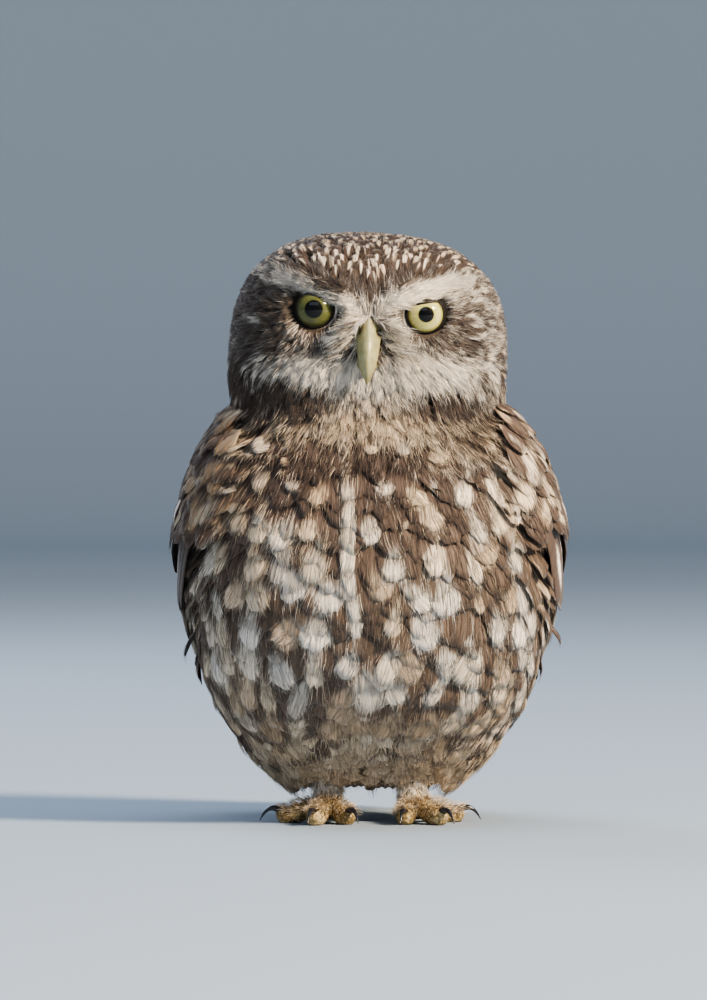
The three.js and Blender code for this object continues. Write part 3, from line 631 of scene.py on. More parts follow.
def featherMesh(roots, normals, lie, spec, seed, marksOf, surface=onBody, scale=1.0):
    # Body feathers. Each is a thin blade whose columns end on a rounded outline a little unevenly, and
    # carries loose barbs: three-edged strands that run on past the outline and keep the colour of the place
    # that they leave the blade.
    rng = np.random.default_rng(seed)
    count, columns, stations = len(roots), spec["columns"], spec["rows"]
    place, length, width = layFeathers(roots, normals, lie, spec, rng, surface, scale)
    look = marksOf(roots, rng)
    turn, down = bakePlace(roots)
    offset = rng.random((count, 2, 1, 1)) * 9

    def outline(a):
        return 1 - spec["round"] * np.abs(a).clip(0, 1) ** 2.4

    def asPart(places, faces, a, share, looks, copy):
        shape = np.broadcast_shapes(a.shape, share.shape)
        a, share = np.broadcast_to(a, shape), np.broadcast_to(share, shape)
        bake = np.stack([turn[:, None, None] + 0.0015 * a.clip(-1, 1),
                         down[:, None, None] + 0.003 * (share - 0.5)], -1)
        lieMap = np.stack([a * width / 20 + offset[:, 0], share * length / 10 + offset[:, 1]], -1)
        mark, pale, dark = looks
        return meshPart(places, faces[0], {"mark": copy(np.broadcast_to(mark, shape))},
                        {"paleTone": copy(np.broadcast_to(pale, shape + (3,))),
                         "darkTone": copy(np.broadcast_to(dark, shape + (3,)))},
                        {"lie": copy(lieMap), "OFBake": copy(bake)}, faces[1])

    parts = []
    if columns:
        a = np.linspace(-1, 1, columns)[None, None, :]
        uneven = spec["blade"] * (1 + spec["ragged"] * rng.standard_normal((count, 1, columns)))
        begin = 0.02 + 0.1 * np.abs(a)
        share = begin + (outline(a) * uneven - begin) * np.linspace(0, 1, stations)[None, :, None] ** 0.9
        top, n = place(a, share)
        rings = np.concatenate([top, (top - n * spec["thickness"])[:, :, ::-1]], 2)
        faces = repeated(sheetFaces(stations, columns), count, stations * 2 * columns)
        parts.append(asPart(rings, faces, a, share, look(a, share, top), thereAndBack))
    if spec["hairs"]:
        hairs, steps = spec["hairs"], spec["hairSteps"]
        low, high = spec["hairFrom"]
        a0 = rng.uniform(-1, 1, (count, hairs, 1))
        leaving = outline(a0) * rng.uniform(low, high, (count, hairs, 1))
        to = outline(a0) * (1 + spec["hairOver"] * rng.uniform(-0.6, 1, (count, hairs, 1)))
        t = np.linspace(0, 1, steps + 1)
        share = leaving + (np.maximum(to, leaving + 0.12) - leaving) * t
        a = a0 + spec["splay"] * rng.standard_normal((count, hairs, 1)) * t**1.5
        p, n = place(a, share)
        proud = 0.08 + spec["fray"] * np.abs(rng.standard_normal((count, hairs, 1))) * t
        p = p + n * proud[..., None]
        alongHair = unit(np.gradient(p, axis=2))
        side = unit(np.cross(n, alongHair))
        half = (spec["hair"] / 2 * np.interp(t, [0, 0.3, 0.7, 1], [0.7, 1, 0.8, 0]))[:, None]
        ridge = p + np.cross(alongHair, side) * half * 0.8
        rows = np.stack([p - side * half, ridge, p + side * half], 3)[:, :, :-1].reshape(count * hairs, -1, 3)
        places = np.concatenate([rows, p[:, :, -1].reshape(count * hairs, 1, 3)], 1)
        leaves = leaving + rng.random((count, hairs, 1)) * (outline(a0) - leaving).clip(0, 1)
        mark, pale, dark = look(a0, leaves, place(a0, leaves)[0])
        mark = mark + spec["grizzle"] * rng.standard_normal((count, hairs, 1))
        shade = 1 + 0.15 * rng.standard_normal((count, hairs, 1, 1))

        def threefold(v):
            rows = np.repeat(v[:, :, :-1], 3, axis=2)
            return np.concatenate([rows, v[:, :, -1:]], 2)

        faces = repeated(strandFaces(steps), count * hairs, 3 * steps + 1)
        parts.append(asPart(places, faces, a0, share, (mark, pale * shade, dark * shade), threefold))
    return joinParts(parts)


def coatPiece(name, parts):
    # a piece of the coat that lies over the skin
    makePiece(name, parts, coatMaterial)


print("surface and materials ready")

# Skin: under the coat, inset from the outer surface by the coat's depth
skin = {"rows": 190, "columns": 240, "lowest": 2.5, "trunk": 4.4, "neck": 3.6, "head": 2.6, "face": 1.35,
        "eyeRim": 0.9}


def coatDepth(q):
    # trunk, neck and head depths by height, less on the face and least round the eyes
    x, y, z = axes(q)
    depth = np.interp(z, [14, 26, 100, 116, 130, 170], [skin["lowest"], skin["trunk"], skin["trunk"],
                                                        skin["neck"], skin["head"] + 0.4, skin["head"]])
    inFace = smooth(-12, -24, y) * smooth(119, 127, z) * smooth(163, 157, z)
    depth = lerp(depth, skin["face"], inFace)
    rim = bump(np.abs(x) - eye["side"], z - eye["height"], 9, 9) * smooth(-12, -24, y)
    return lerp(depth, skin["eyeRim"], rim)


def bodyTones(q):
    # pale and dark tones of the plumage at a place: the back and crown warm, the face grey and white
    x, y, z = axes(q)
    front = smooth(8, -16, y)
    face = smooth(-10, -22, y) * smooth(117, 126, z) * smooth(166, 158, z)
    pale = mixTone(tones["cream"], tones["white"], 0.5 * front * smooth(100, 50, z))
    pale = mixTone(pale, tones["buff"], 0.35 * bump(x, z - 117, 34, 7) * front)
    pale = mixTone(pale, tones["buff"], 0.45 * smooth(50, 22, z) + 0.25 * smooth(158, 163, z))
    facePale = mixTone(mixTone(tones["white"], tones["cream"], 0.5) * 1.07, tones["grey"],
                       0.5 * smooth(14, 30, np.abs(x)) * smooth(136, 142, z))
    pale = mixTone(pale, facePale, face)
    dark = mixTone(tones["brown"], tones["warm"], 0.4 * front * smooth(100, 60, z))
    dark = mixTone(dark, tones["deep"], 0.4 * (1 - front * smooth(158, 150, z)) + 0.5 * smooth(150, 158, z))
    dark = mixTone(dark, mixTone(tones["slate"], tones["brown"], 0.4), face)
    return pale, dark


def bodyTone(q):
    # how pale the ground is anywhere on the body: the trunk's field, then the face's with a dark crown
    x, y, z = axes(q)
    face = smooth(-8, -20, y) * smooth(114, 122, z) * smooth(165, 160, z)
    upper = lerp(-0.55 + 0 * z, faceTone(x, z), face)
    return lerp(trunkTone(x, y, z), upper, smooth(113, 121, z))


def makeSkin():
    # the outer surface drawn in along its own normals, which are turned upright round the crown's pole
    heights = meridian(skin["rows"])
    angle = np.linspace(0, 2 * math.pi, skin["columns"], endpoint=False)
    p = bodyPoint(angle[None, :], heights[:, None])
    n = unit(np.cross(np.gradient(p, axis=0), np.roll(p, -1, 1) - np.roll(p, 1, 1)))
    n[:3] = unit(lerp(n[:3], np.array([0, 0, 1.0]), 0.8))
    places, triangles = closedTube(p - n * coatDepth(lean(p, -1))[..., None])
    q = lean(places, -1)
    pale, dark = bodyTones(q)
    rows = np.linspace(0, 25, skin["rows"])[:, None]
    lieMap = np.stack([angle * 4.4 + 0 * rows, rows + 0 * angle], -1).reshape(-1, 2)
    lieMap = np.concatenate([lieMap, lieMap[[0, -1]]])
    # the skin's tones are darker than the coat's: painted shade for the depth under the feathers
    part = meshPart(places, triangles, {"mark": bodyTone(q)},
                    {"paleTone": pale * 0.8, "darkTone": dark * 0.7},
                    {"lie": lieMap, "OFBake": np.stack(bakePlace(places), -1)})
    makePiece("skin", [part], coatMaterial, ["torso", "neck", "head"])


makeSkin()


# Wings

def wingDegrees(q):
    # degrees round the wing's side of the body, from the outermost line towards the back
    return np.degrees(np.arctan2(q[..., 1] + 4.0, np.abs(q[..., 0])))


def leadingEdge(z):
    # degrees of the folded wing's leading edge at a height
    return np.interp(z, [30, 45, 62, 80, 95, 106, 115, 121], [40, 24, 4, -12, -23, -26, -24, -12])


def underWing(q, margin=0.0):
    # whether a place on the trunk is hidden by a folded wing, with a margin in degrees inside its edge
    z, turn = q[..., 2], wingDegrees(q)
    leading = leadingEdge(z)
    trailing = np.interp(z, [30, 60, 80, 106, 115, 121], [84, 84, 80, 70, 62, 48])
    return (turn > leading + margin) & (turn < trailing - margin) & (z > 30) & (z < 120)


# Body coat. Every tract has its spacing, its feather and its marks.

def varied(tone, rng, amount):
    # a little lighter or darker from feather to feather
    return tone * (1 + amount * rng.standard_normal((len(tone),) + (1,) * (tone.ndim - 1)))


def eachRoot(values):
    # one value for each feather, to be spread over its stations and columns
    return np.asarray(values)[:, None, None]


# Pale lobes: half width, half length below and above the middle, in mm, by height
lobeLevels = [(14, 3.3, 3.8, 6.6), (30, 3.7, 4.2, 7.2), (50, 4.1, 4.6, 7.6), (75, 4.1, 4.6, 7.2),
              (95, 3.8, 4.2, 6.2), (122, 3.2, 3.4, 4.8)]
lineLobes = [(112, 1.6, 4, 7), (106, 1.8, 4, 8), (99, 2.1, 4.5, 9), (92, 2.4, 5, 9), (85, 2.6, 5, 10),
             (78, 2.7, 5, 10), (71, 2.6, 5, 10), (64, 2.4, 5, 10), (58, 2.0, 4, 9)]
lobeSpacing = {"across": 9.2, "along": 9.8, "wingHeights": (88, 121, 7.4), "wingDegrees": (-34, 60, 10.5)}


def makeLobes():
    # Middles, directions and sizes of the pale lobes that the feathers' tips make. They are one pattern
    # over trunk and shoulders, so that feathers which overlap agree on it.
    rng = np.random.default_rng(7)
    middles = scatter(8, lobeSpacing["across"], lobeSpacing["along"], lambda q: q[..., 2] < 116, 117, 16)
    _, normals = onBody(middles)
    lies = lieOf(middles, normals)
    trunkCount = len(middles)
    even = np.arange(*lobeSpacing["wingDegrees"])
    for side in (-1, 1):
        for i, z in enumerate(np.arange(*lobeSpacing["wingHeights"])):
            degrees = even + 5.2 * (i % 2) + rng.uniform(-2.4, 2.4, len(even))
            height = z + rng.uniform(-1.4, 1.4, len(even))
            here = wingPoint(side, degrees, height, 0)
            on, n = onWing(here)
            ahead = wingPoint(side, degrees + 2, height - 4, 0) - here
            middles, normals = np.concatenate([middles, on]), np.concatenate([normals, n])
            lies = np.concatenate([lies, unit(ahead - (ahead * n).sum(-1, keepdims=True) * n)])
    # the ones on the breast's pale line give way to longer ones
    near = (np.abs(middles[:, 0] - partingAt(middles[:, 2])) < 5.2) & (np.abs(middles[:, 2] - 82) < 28)
    near &= middles[:, 1] < -20
    trunkCount = (~near[:trunkCount]).sum()
    middles, normals, lies = middles[~near], normals[~near], lies[~near]
    line = np.array(lineLobes, float)
    along = np.stack([partingAt(line[:, 0]), np.full(len(line), -50.0), line[:, 0]], -1)
    along, n = onBody(along)
    middles, normals = np.concatenate([along, middles]), np.concatenate([n, normals])
    lies = np.concatenate([np.cross(n, np.cross([0, 0, -1.0], n)), lies])
    count = len(middles)
    turn = 0.4 * rng.standard_normal((count, 1))
    turn[:len(line)] = 0
    lies = unit(lies + turn * np.cross(normals, lies))
    rows = np.array(lobeLevels, float)
    sizes = [np.interp(middles[:, 2], rows[:, 0], rows[:, i]) for i in (1, 2, 3)]
    grow = (1 + 0.2 * rng.standard_normal((3, count))).clip(0.6, 1.3)
    behind = lerp(0.6, 1, smooth(6, -22, middles[:, 1]))
    for x, wide in ((2, 8), (-20, 9)):
        behind = behind * (1 - 0.7 * bump(middles[:, 0] - x, middles[:, 2] - 104, wide, 5))
    grow = grow * behind * np.where(rng.random(count) < 0.88, 1, 0.5)
    grow[:, :len(line)] = 1
    grow[0] = grow[0] * np.where(np.abs(middles[:, 0]) > 47, 0.68, 1)
    for i in range(3):
        sizes[i][:len(line)] = line[:, i + 1]
    tints = np.array([[1, 1, 1], [0.97, 0.93, 0.87], [0.9, 0.83, 0.73], [0.88, 0.88, 0.9], [0.7, 0.6, 0.5]])
    tint = np.where(np.arange(count) < len(line), 0, rng.integers(0, len(tints), count))
    wide, below, above = (size * share for size, share in zip(sizes, grow))
    return {"middle": middles, "lie": lies, "across": np.cross(lies, normals), "normal": normals,
            "trunk": len(line) + trunkCount, "wide": wide, "below": below, "above": above,
            "tint": tints[tint]}


def lobeAt(p):
    # How far inside the nearest lobe a place lies, as one less its distance from the middle in half widths
    # and half lengths, that lobe's number, and the share down it from -1 to 1. A lobe narrows upwards, and
    # fades there over twice the length that it does at its rounded tip.
    places = p.reshape(-1, 3)
    inside, down, which = np.empty(len(places)), np.empty(len(places)), np.empty(len(places), int)
    for start in range(0, len(places), 8000):
        part = slice(start, start + 8000)
        along, aside, out = (places[part] @ lobes[way].T - (lobes["middle"] * lobes[way]).sum(1)
                             for way in ("lie", "across", "normal"))
        share = along / np.where(along > 0, lobes["below"], lobes["above"])
        far = np.hypot(aside / (lobes["wide"] * (1 + 0.3 * share.clip(-1, 0))), share)
        value = (1 - np.hypot(far, out / 8)) * np.where(along > 0, 1, 0.6)
        best = value.argmax(1)[:, None]
        inside[part], which[part] = np.take_along_axis(value, best, 1)[:, 0], best[:, 0]
        down[part] = np.take_along_axis(share, best, 1)[:, 0].clip(-1, 1)
    return (v.reshape(p.shape[:-1]) for v in (inside, which, down))


def trunkMarks(roots, rng):
    # the lobes, over the trunk's ground, a little different from feather to feather
    apart, shade = 0.16 * eachRoot(rng.standard_normal(len(roots))), 1 + 0.1 * rng.standard_normal(len(roots))

    def look(a, share, p):
        q = lean(p, -1)
        inside, which, down = lobeAt(p)
        pale, dark = bodyTones(q)
        mark = 1.9 * (1.8 * inside).clip(-0.7, 0.7) + trunkTone(*axes(q)) + apart
        shades = eachRoot(shade)[..., None]
        lightest = lerp(0.74, 1.04, smooth(-0.8, 0.7, down))[..., None]
        return mark.clip(-1.6, 1.5), pale * lobes["tint"][which] * lightest * shades, dark * shades

    return look


def ventMarks(roots, rng):
    # plain feathers, each paler or browner than the next, and brown behind the legs
    q = lean(roots, -1)
    pale, dark = bodyTones(q)
    ground = eachRoot(1.0 + 0.3 * rng.standard_normal(len(roots)) - 0.7 * smooth(0, 22, q[..., 1]))
    pale = varied(mixTone(pale, tones["buff"], 0.15 + 0.6 * rng.random(len(roots))), rng, 0.08)
    dark = varied(mixTone(dark, tones["warm"], 0.4), rng, 0.1)
    return lambda a, share, p: (ground, eachRoot(pale), eachRoot(dark))


def crownMarks(roots, rng):
    # small rounded cream drops, longer at the forehead and larger on the nape
    q = lean(roots, -1)
    y, z = q[..., 1], q[..., 2]
    pale, dark = bodyTones(q)
    forehead = smooth(-14, -26, y) * smooth(167, 159, z)
    nape = smooth(10, 24, y)
    jitter = rng.standard_normal((3, len(roots)))
    wide = 0.33 - 0.08 * forehead + 0.12 * nape + 0.06 * jitter[0]
    long = 0.2 + 0.24 * forehead + 0.05 * nape + 0.04 * jitter[2]
    kept = rng.random(len(roots)) < 0.8
    pale = varied(mixTone(pale, tones["buff"], 0.2 + 0.5 * rng.random(len(roots))), rng, 0.08)
    pale = pale * (1 - 0.25 * smooth(161, 170, z) * smooth(6, -4, y))[:, None]
    dark = varied(dark * np.array([0.72, 0.66, 0.62]), rng, 0.16)

    def look(a, share, p):
        spot = drop(a, share, eachRoot(0.1 * jitter[1]), eachRoot(wide), 0.8, eachRoot(long))
        spot = np.where(eachRoot(kept), spot, -0.8).clip(-0.8, 0.8)
        return 1.5 * spot - 0.1 + eachRoot(0.12 * jitter[2]), eachRoot(pale), eachRoot(dark)

    return look


def faceMarks(roots, rng):
    # grizzled: each barb keeps near the tone of the face where it starts
    sides = smooth(20, 32, np.abs(roots[:, 0]))
    apart = eachRoot((0.25 + 0.55 * sides) * rng.standard_normal(len(roots)))
    shade = eachRoot(1 + 0.06 * rng.standard_normal(len(roots)))[..., None]

    def look(a, share, p):
        q = lean(p, -1)
        pale, dark = bodyTones(q)
        return (faceTone(q[..., 0], q[..., 2]) + apart).clip(-1.5, 1.5), pale * shade, dark * shade

    return look


def neckMarks(roots, rng):
    # the face's and breast's tones run together, mottled
    apart = eachRoot(0.25 * rng.standard_normal(len(roots)))
    buff = eachRoot(0.5 * rng.random(len(roots)))

    def look(a, share, p):
        q = lean(p, -1)
        pale, dark = bodyTones(q)
        spot = drop(a, share, 0, 0.7, 0.8, 0.3, 2).clip(-0.8, 0.8)
        mark = (bodyTone(q) + apart + 0.4 * spot).clip(-1.4, 1.4)
        return mark, mixTone(pale, tones["buff"], buff + 0 * a), dark

    return look


def shoulderMarks(roots, rng):
    # the same lobes as on the breast, over brown that is deeper towards the back. The lobes are greyer buff
    # on
    # the right side and creamier on the left: painted shade on the side away from the light.
    apart = 0.2 * eachRoot(rng.standard_normal(len(roots)))
    shade = eachRoot(1 + 0.07 * rng.standard_normal(len(roots)))[..., None]

    def look(a, share, p):
        inside, which, _ = lobeAt(p)
        toFront = smooth(4, -20, p[..., 1])
        pale = mixTone(tones["buff"], tones["grey"], 0.4)
        # greyer on the right side and creamier on the left: painted shade
        pale = mixTone(pale, tones["cream"], 0.5 + 0.4 * np.sign(p[..., 0])) * lobes["tint"][which]
        dark = mixTone(tones["brown"], tones["deep"], 0.4 * (1 - toFront))
        mark = (1.7 * (1.5 * inside).clip(-0.7, 0.7) - 0.35 + apart).clip(-1.6, 1.5)
        return mark, pale * shade, dark * shade

    return look


def browTop(x):
    # the height where the face's feathers give way to the crown's
    side = np.abs(x)
    return np.interp(side, [0, 3, 8, 16, 24, 34, 40], [151, 153, 156.5, 159, 161, 160.5, 156])


def onFace(q):
    # in front and below that height
    return (q[..., 1] < -9) & (q[..., 2] < browTop(q[..., 0])) & (q[..., 2] > 121)


def clearOfEyes(q, reach=6.4):
    # outside the circles of the lids and the base of the bill
    side = np.abs(q[..., 0]) - eye["side"]
    near = (np.hypot(side, q[..., 2] - eye["height"] + 0.2) < reach) & (q[..., 1] < -14)
    bill = (np.abs(q[..., 0]) < 2.2) & (q[..., 2] > 132) & (q[..., 2] < 145) & (q[..., 1] < -20)
    return ~near & ~bill


plainFeather = {"columns": 7, "rows": 6, "round": 0.4, "blade": 1.0, "vary": 0.12, "depth": 2.6,
                "camber": 0.22, "curl": 0.15, "ragged": 0.05, "bend": 0.05, "thickness": 0.06,
                "hairSteps": 2, "hair": 0.16, "grizzle": 0.25}
featherKinds = {
    "trunk": {"across": 5.7, "along": 5.6, "length": 17, "width": 10.5, "blade": 0.9, "depth": 2.8,
              "lift": 0.14, "curl": 0.12, "loft": 0.07, "ragged": 0.08, "bend": 0.07, "hairs": 36,
              "hair": 0.15, "hairFrom": (0.25, 0.8), "hairOver": 0.12, "splay": 0.16, "fray": 0.14,
              "grizzle": 0.6},
    "vent": {"across": 4.6, "along": 3.8, "length": 11, "width": 6.5, "columns": 5, "rows": 5, "blade": 0.8,
             "lift": 0.3, "camber": 0.3, "curl": 0.2, "loft": 0.3, "ragged": 0.1, "bend": 0.1, "hairs": 20,
             "hair": 0.17, "hairFrom": (0.15, 0.8), "hairOver": 0.38, "splay": 0.4, "fray": 0.4,
             "grizzle": 0.4},
    "crown": {"across": 2.6, "along": 2.5, "length": 7.6, "width": 4.2, "columns": 6, "rows": 5,
              "round": 0.45, "depth": 2.2, "lift": 0.15, "loft": 0.06, "ragged": 0.04, "bend": 0.07,
              "thickness": 0.05, "hairs": 9, "hair": 0.14, "hairFrom": (0.3, 0.85), "hairOver": 0.18,
              "splay": 0.24, "fray": 0.14},
    "nape": {"across": 4.8, "along": 4.6, "length": 12.5, "width": 8.5, "depth": 3.0, "lift": 0.25,
             "camber": 0.3, "curl": 0.2, "loft": 0.12, "ragged": 0.04, "thickness": 0.07, "hairs": 18,
             "hairFrom": (0.4, 0.85), "hairOver": 0.12, "splay": 0.16, "fray": 0.15},
    "neck": {"across": 4.0, "along": 3.4, "length": 12, "width": 6.4, "columns": 5, "rows": 5, "round": 0.5,
             "blade": 0.7, "lift": 0.3, "camber": 0.2, "curl": 0.1, "loft": 0.12, "ragged": 0.12,
             "bend": 0.1, "hairs": 46, "hair": 0.15, "hairFrom": (0.1, 0.75), "hairOver": 0.2,
             "splay": 0.35, "fray": 0.3, "grizzle": 0.45},
    "face": {"across": 2.2, "along": 2.0, "length": 6.2, "width": 2.5, "columns": 4, "rows": 4, "round": 0.5,
             "blade": 0.72, "vary": 0.2, "depth": 1.1, "lift": 0.12, "camber": 0.1, "curl": 0.05,
             "loft": 0.06, "ragged": 0.1, "bend": 0.1, "thickness": 0.05, "hairs": 26, "hair": 0.13,
             "hairFrom": (0.02, 0.5), "hairOver": 0.3, "splay": 0.5, "fray": 0.28, "grizzle": 0.35},
    "shoulder": {"across": 4.9, "along": 4.9, "length": 13, "width": 8.4, "lift": 0.2, "camber": 0.35,
                 "loft": 0.1, "thickness": 0.08, "hairs": 19, "hairFrom": (0.35, 0.85), "hairOver": 0.14,
                 "splay": 0.18, "fray": 0.18, "grizzle": 0.35},
}
featherKinds = {name: {**plainFeather, **kind} for name, kind in featherKinds.items()}


def lowerEdge(q):
    # the height that the coat's ends hang to: short over the legs, lower beside and behind them
    front = smooth(8, -8, q[..., 1])
    return 9.5 + 7.5 * front * smooth(27, 19, np.abs(q[..., 0]))


def shortOfEyes(roots, lie, length):
    # the share of a feather's length that it may have, so that it ends 6.6 mm from the nearer eye's middle
    q, ahead = lean(roots, -1), lean(roots + lie, -1)
    side, rise = np.abs(q[..., 0]) - eye["side"], q[..., 2] - eye["height"]
    far = np.hypot(side, rise)
    closing = far - np.hypot(np.abs(ahead[..., 0]) - eye["side"], ahead[..., 2] - eye["height"])
    room = (far - 6.6) / np.maximum(closing, 0.05) / length
    return np.where((closing > 0.05) & (q[..., 1] < -14), room.clip(0.25, 1), 1)


def growTract(kind, seed, keep, marksOf, top=171.0, bottom=12.0, lifted=None, **changes):
    # feathers of one kind over a stretch of the body, shortened where they would hang under the lower edge or
    # reach an eye
    spec = {**featherKinds[kind], **changes}
    roots = scatter(seed, spec["across"], spec["along"], keep, top, bottom)
    _, normals = onBody(roots)
    lie = lieOf(roots, normals)
    turn = 0.1 * np.random.default_rng(seed + 1).standard_normal(len(roots))[:, None]
    lie = unit(lie + turn * np.cross(normals, lie))
    q = lean(roots, -1)
    if lifted:
        spec["lift"] = spec["lift"] + lifted(q)
    room = (q[..., 2] - lowerEdge(q)) / (spec["length"] * np.maximum(-lie[..., 2], 0.3))
    scale = np.where(q[..., 2] < 45, room.clip(0.3, 1), 1) * shortOfEyes(roots, lie, spec["length"] * 1.2)
    return featherMesh(roots, normals, lie, spec, seed + 2, marksOf, scale=scale)


lobes = makeLobes()


def frontOf(q):
    # breast and belly, up to where the back's feathers begin
    return q[..., 1] < 2


def behindEdge(q):
    # how many degrees a place lies behind the wing's leading edge
    return wingDegrees(q) - leadingEdge(q[..., 2])


def flankLift(q):
    # breast feathers stand over the wing's leading edge
    return 3.8 * smooth(-26, -2, behindEdge(q)) * smooth(62, 84, q[..., 2]) * smooth(122, 112, q[..., 2])


def neckLift(q):
    # and so do the ones beside the neck
    return 3.2 * smooth(-30, -10, behindEdge(q)) * smooth(104, 112, q[..., 2])


def lobeFeathers(lowest, highest, seed):
    # one broad feather for each lobe on the front, whose rounded tip ends at the lobe's lower edge
    q = lean(lobes["middle"], -1)
    keep = (q[:, 1] < -1) & (q[:, 2] > lowest) & (q[:, 2] <= highest) & ~underWing(q, 3) & (lobes["wide"] > 2)
    keep &= np.arange(len(q)) < lobes["trunk"]
    middle, lie, q = lobes["middle"][keep], lobes["lie"][keep], q[keep]
    above, below = lobes["above"][keep] * 1.25 + 1.5, lobes["below"][keep] * 1.06
    roots, normals = onBody(middle - lie * above[:, None])
    spec = {**featherKinds["trunk"], "length": above + below, "width": 2.2 * lobes["wide"][keep],
            "columns": 9, "rows": 7, "round": 0.45, "blade": 0.93, "lift": 0.52 + flankLift(q),
            "ragged": 0.03, "vary": 0.0, "camber": 0.4, "bend": 0.05, "hairs": 40,
            "hairFrom": (0.35, 0.85), "hairOver": 0.07, "splay": 0.12, "fray": 0.1, "grizzle": 0.4,
            "loft": 0.14}
    return featherMesh(roots, normals, lie, spec, seed, trunkMarks)


def backLift(q):
    # mantle feathers stand level with the folded wings on both sides of them
    return 6.2 * smooth(52, 70, q[..., 2]) * smooth(118, 104, q[..., 2])


def overBreast(q):
    return frontOf(q) & ~underWing(q, 2) & (q[..., 2] > 66)


def overBelly(q):
    return frontOf(q) & ~underWing(q, 4) & (q[..., 2] <= 67)


def overBack(q):
    return ~frontOf(q) & ~underWing(q, 9)


def overCrown(q):
    return ~onFace(q) & (q[..., 2] > 143) & (q[..., 1] < 20)


def overNape(q):
    return ~onFace(q) & (q[..., 1] > -12) & ((q[..., 2] <= 143) | (q[..., 1] >= 20))


coatPiece("coat_breast", [growTract("trunk", 11, overBreast, trunkMarks, top=119, lifted=flankLift),
                          lobeFeathers(66, 113, 15)])
coatPiece("coat_belly", [growTract("trunk", 21, overBelly, trunkMarks, top=69, bottom=24),
                         lobeFeathers(24, 66, 25)])
coatPiece("coat_vent", [growTract("vent", 31, lambda q: q[..., 2] < 30, ventMarks, top=30, bottom=14)])
coatPiece("coat_back", [growTract("trunk", 41, overBack, trunkMarks, top=117, bottom=27, lifted=backLift,
                                  hairs=22)])
crownBare = np.array([[1.0, 0.5, 170.7], [-2.2, -0.6, 170.8], [4.0, -0.4, 170.5], [-0.6, -2.6, 170.8],
                      [2.6, -2.4, 170.7], [1.1, 2.6, 170.5], [-11.0, -31.2, 160.3], [-9.4, -32.0, 159.6],
                      [-12.6, -30.2, 161.0], [-18.5, -23.7, 165.1]])


def crownCovers(seed):
    # a few more crown feathers over the places that the rings of roots leave bare
    middle, normals = onBody(crownBare)
    lie = lieOf(middle, normals)
    roots, normals = onBody(middle - 4.2 * lie)
    return featherMesh(roots, normals, lie, {**featherKinds["crown"], "lift": 0.5}, seed, crownMarks)


coatPiece("coat_crown", [growTract("crown", 51, overCrown, crownMarks, bottom=140), crownCovers(55)])
coatPiece("coat_nape", [growTract("nape", 61, overNape, crownMarks, top=168, bottom=112)])
coatPiece("coat_neck", [growTract("neck", 71, lambda q: (q[..., 1] < -4) & (q[..., 2] < 125), neckMarks,
                                  top=126, bottom=108, lifted=neckLift)])
for faceSide, faceSeed in ((-1, 81), (1, 85)):
    coatPiece("coat_face_" + ("right" if faceSide < 0 else "left"), [growTract(
        "face", faceSeed, lambda q: onFace(q) & clearOfEyes(q) & (q[..., 0] * faceSide > 0), faceMarks,
        top=165, bottom=119)])


browRows = [(20, 0.2, -0.1), (19, 0.16, 0.6), (17, 0.08, 1.6), (15, 0.0, 2.8), (14, -0.1, 4.0)]


def makeBrows():
    # rows of feathers that start beside the bill, run up and out over each eye, and cut off its top
    rng = np.random.default_rng(301)
    roots, lies = [], []
    for side in (-1, 1):
        for count, fall, rise in browRows:
            s = np.clip((np.arange(count) + rng.uniform(-0.3, 0.3, count)) / count, 0, 1)
            x = 4.0 + 18 * s
            z = (149.6 if side < 0 else 149.4) + 4.2 * s**0.9 + rise + rng.uniform(-0.2, 0.2, count)
            roots.append(np.stack([side * x, np.full(count, -36.0), z], -1))
            slope = 0.34 - fall + 0.06 * rng.standard_normal(count)
            lies.append(np.stack([np.full(count, float(side)), 0 * s, slope], -1))
    roots, lies = lean(np.concatenate(roots)), np.concatenate(lies)
    roots, normals = onBody(roots)
    lies = unit(lies - (lies * normals).sum(-1, keepdims=True) * normals)
    spec = {**featherKinds["face"], "length": 7.5, "width": 2.2, "lift": 1.3, "depth": 0.4, "hairs": 26}
    return featherMesh(roots, normals, lies, spec, 302, faceMarks)


def ringTurns(rng, count):
    # uneven steps round a whole turn
    return (np.arange(count) + rng.uniform(-0.4, 0.4, count)) / count * 2 * math.pi


def makeEyeRings():
    # short hair-like feathers in rings round each eye, pointing away from it
    rng = np.random.default_rng(321)
    roots, normals, lies = [], [], []
    for side in (-1, 1):
        for ring, radius in enumerate((6.5, 7.0, 7.7, 8.5)):
            count = 34 + 4 * ring
            turn = ringTurns(rng, count)
            x = side * eye["side"] + radius * np.cos(turn)
            z = eye["height"] + radius * np.sin(turn)
            there, n = onBody(lean(np.stack([x, np.full(count, -34.0), z], -1)))
            away = lean(np.stack([np.cos(turn), 0 * turn, np.sin(turn) - 0.12], -1))
            away = away - lean(np.zeros((count, 3)))
            keep = np.sin(turn) < 0.62
            roots.append(there[keep])
            normals.append(n[keep])
            lies.append((away - (away * n).sum(-1, keepdims=True) * n)[keep])
    roots, normals, lies = np.concatenate(roots), np.concatenate(normals), unit(np.concatenate(lies))
    spec = {**featherKinds["face"], "columns": 0, "length": 4.6, "width": 1.7, "lift": 0.55, "depth": 0.5,
            "hairs": 13, "hair": 0.13, "hairFrom": (0.0, 0.3)}
    return featherMesh(roots, normals, lies, spec, 322, faceMarks)


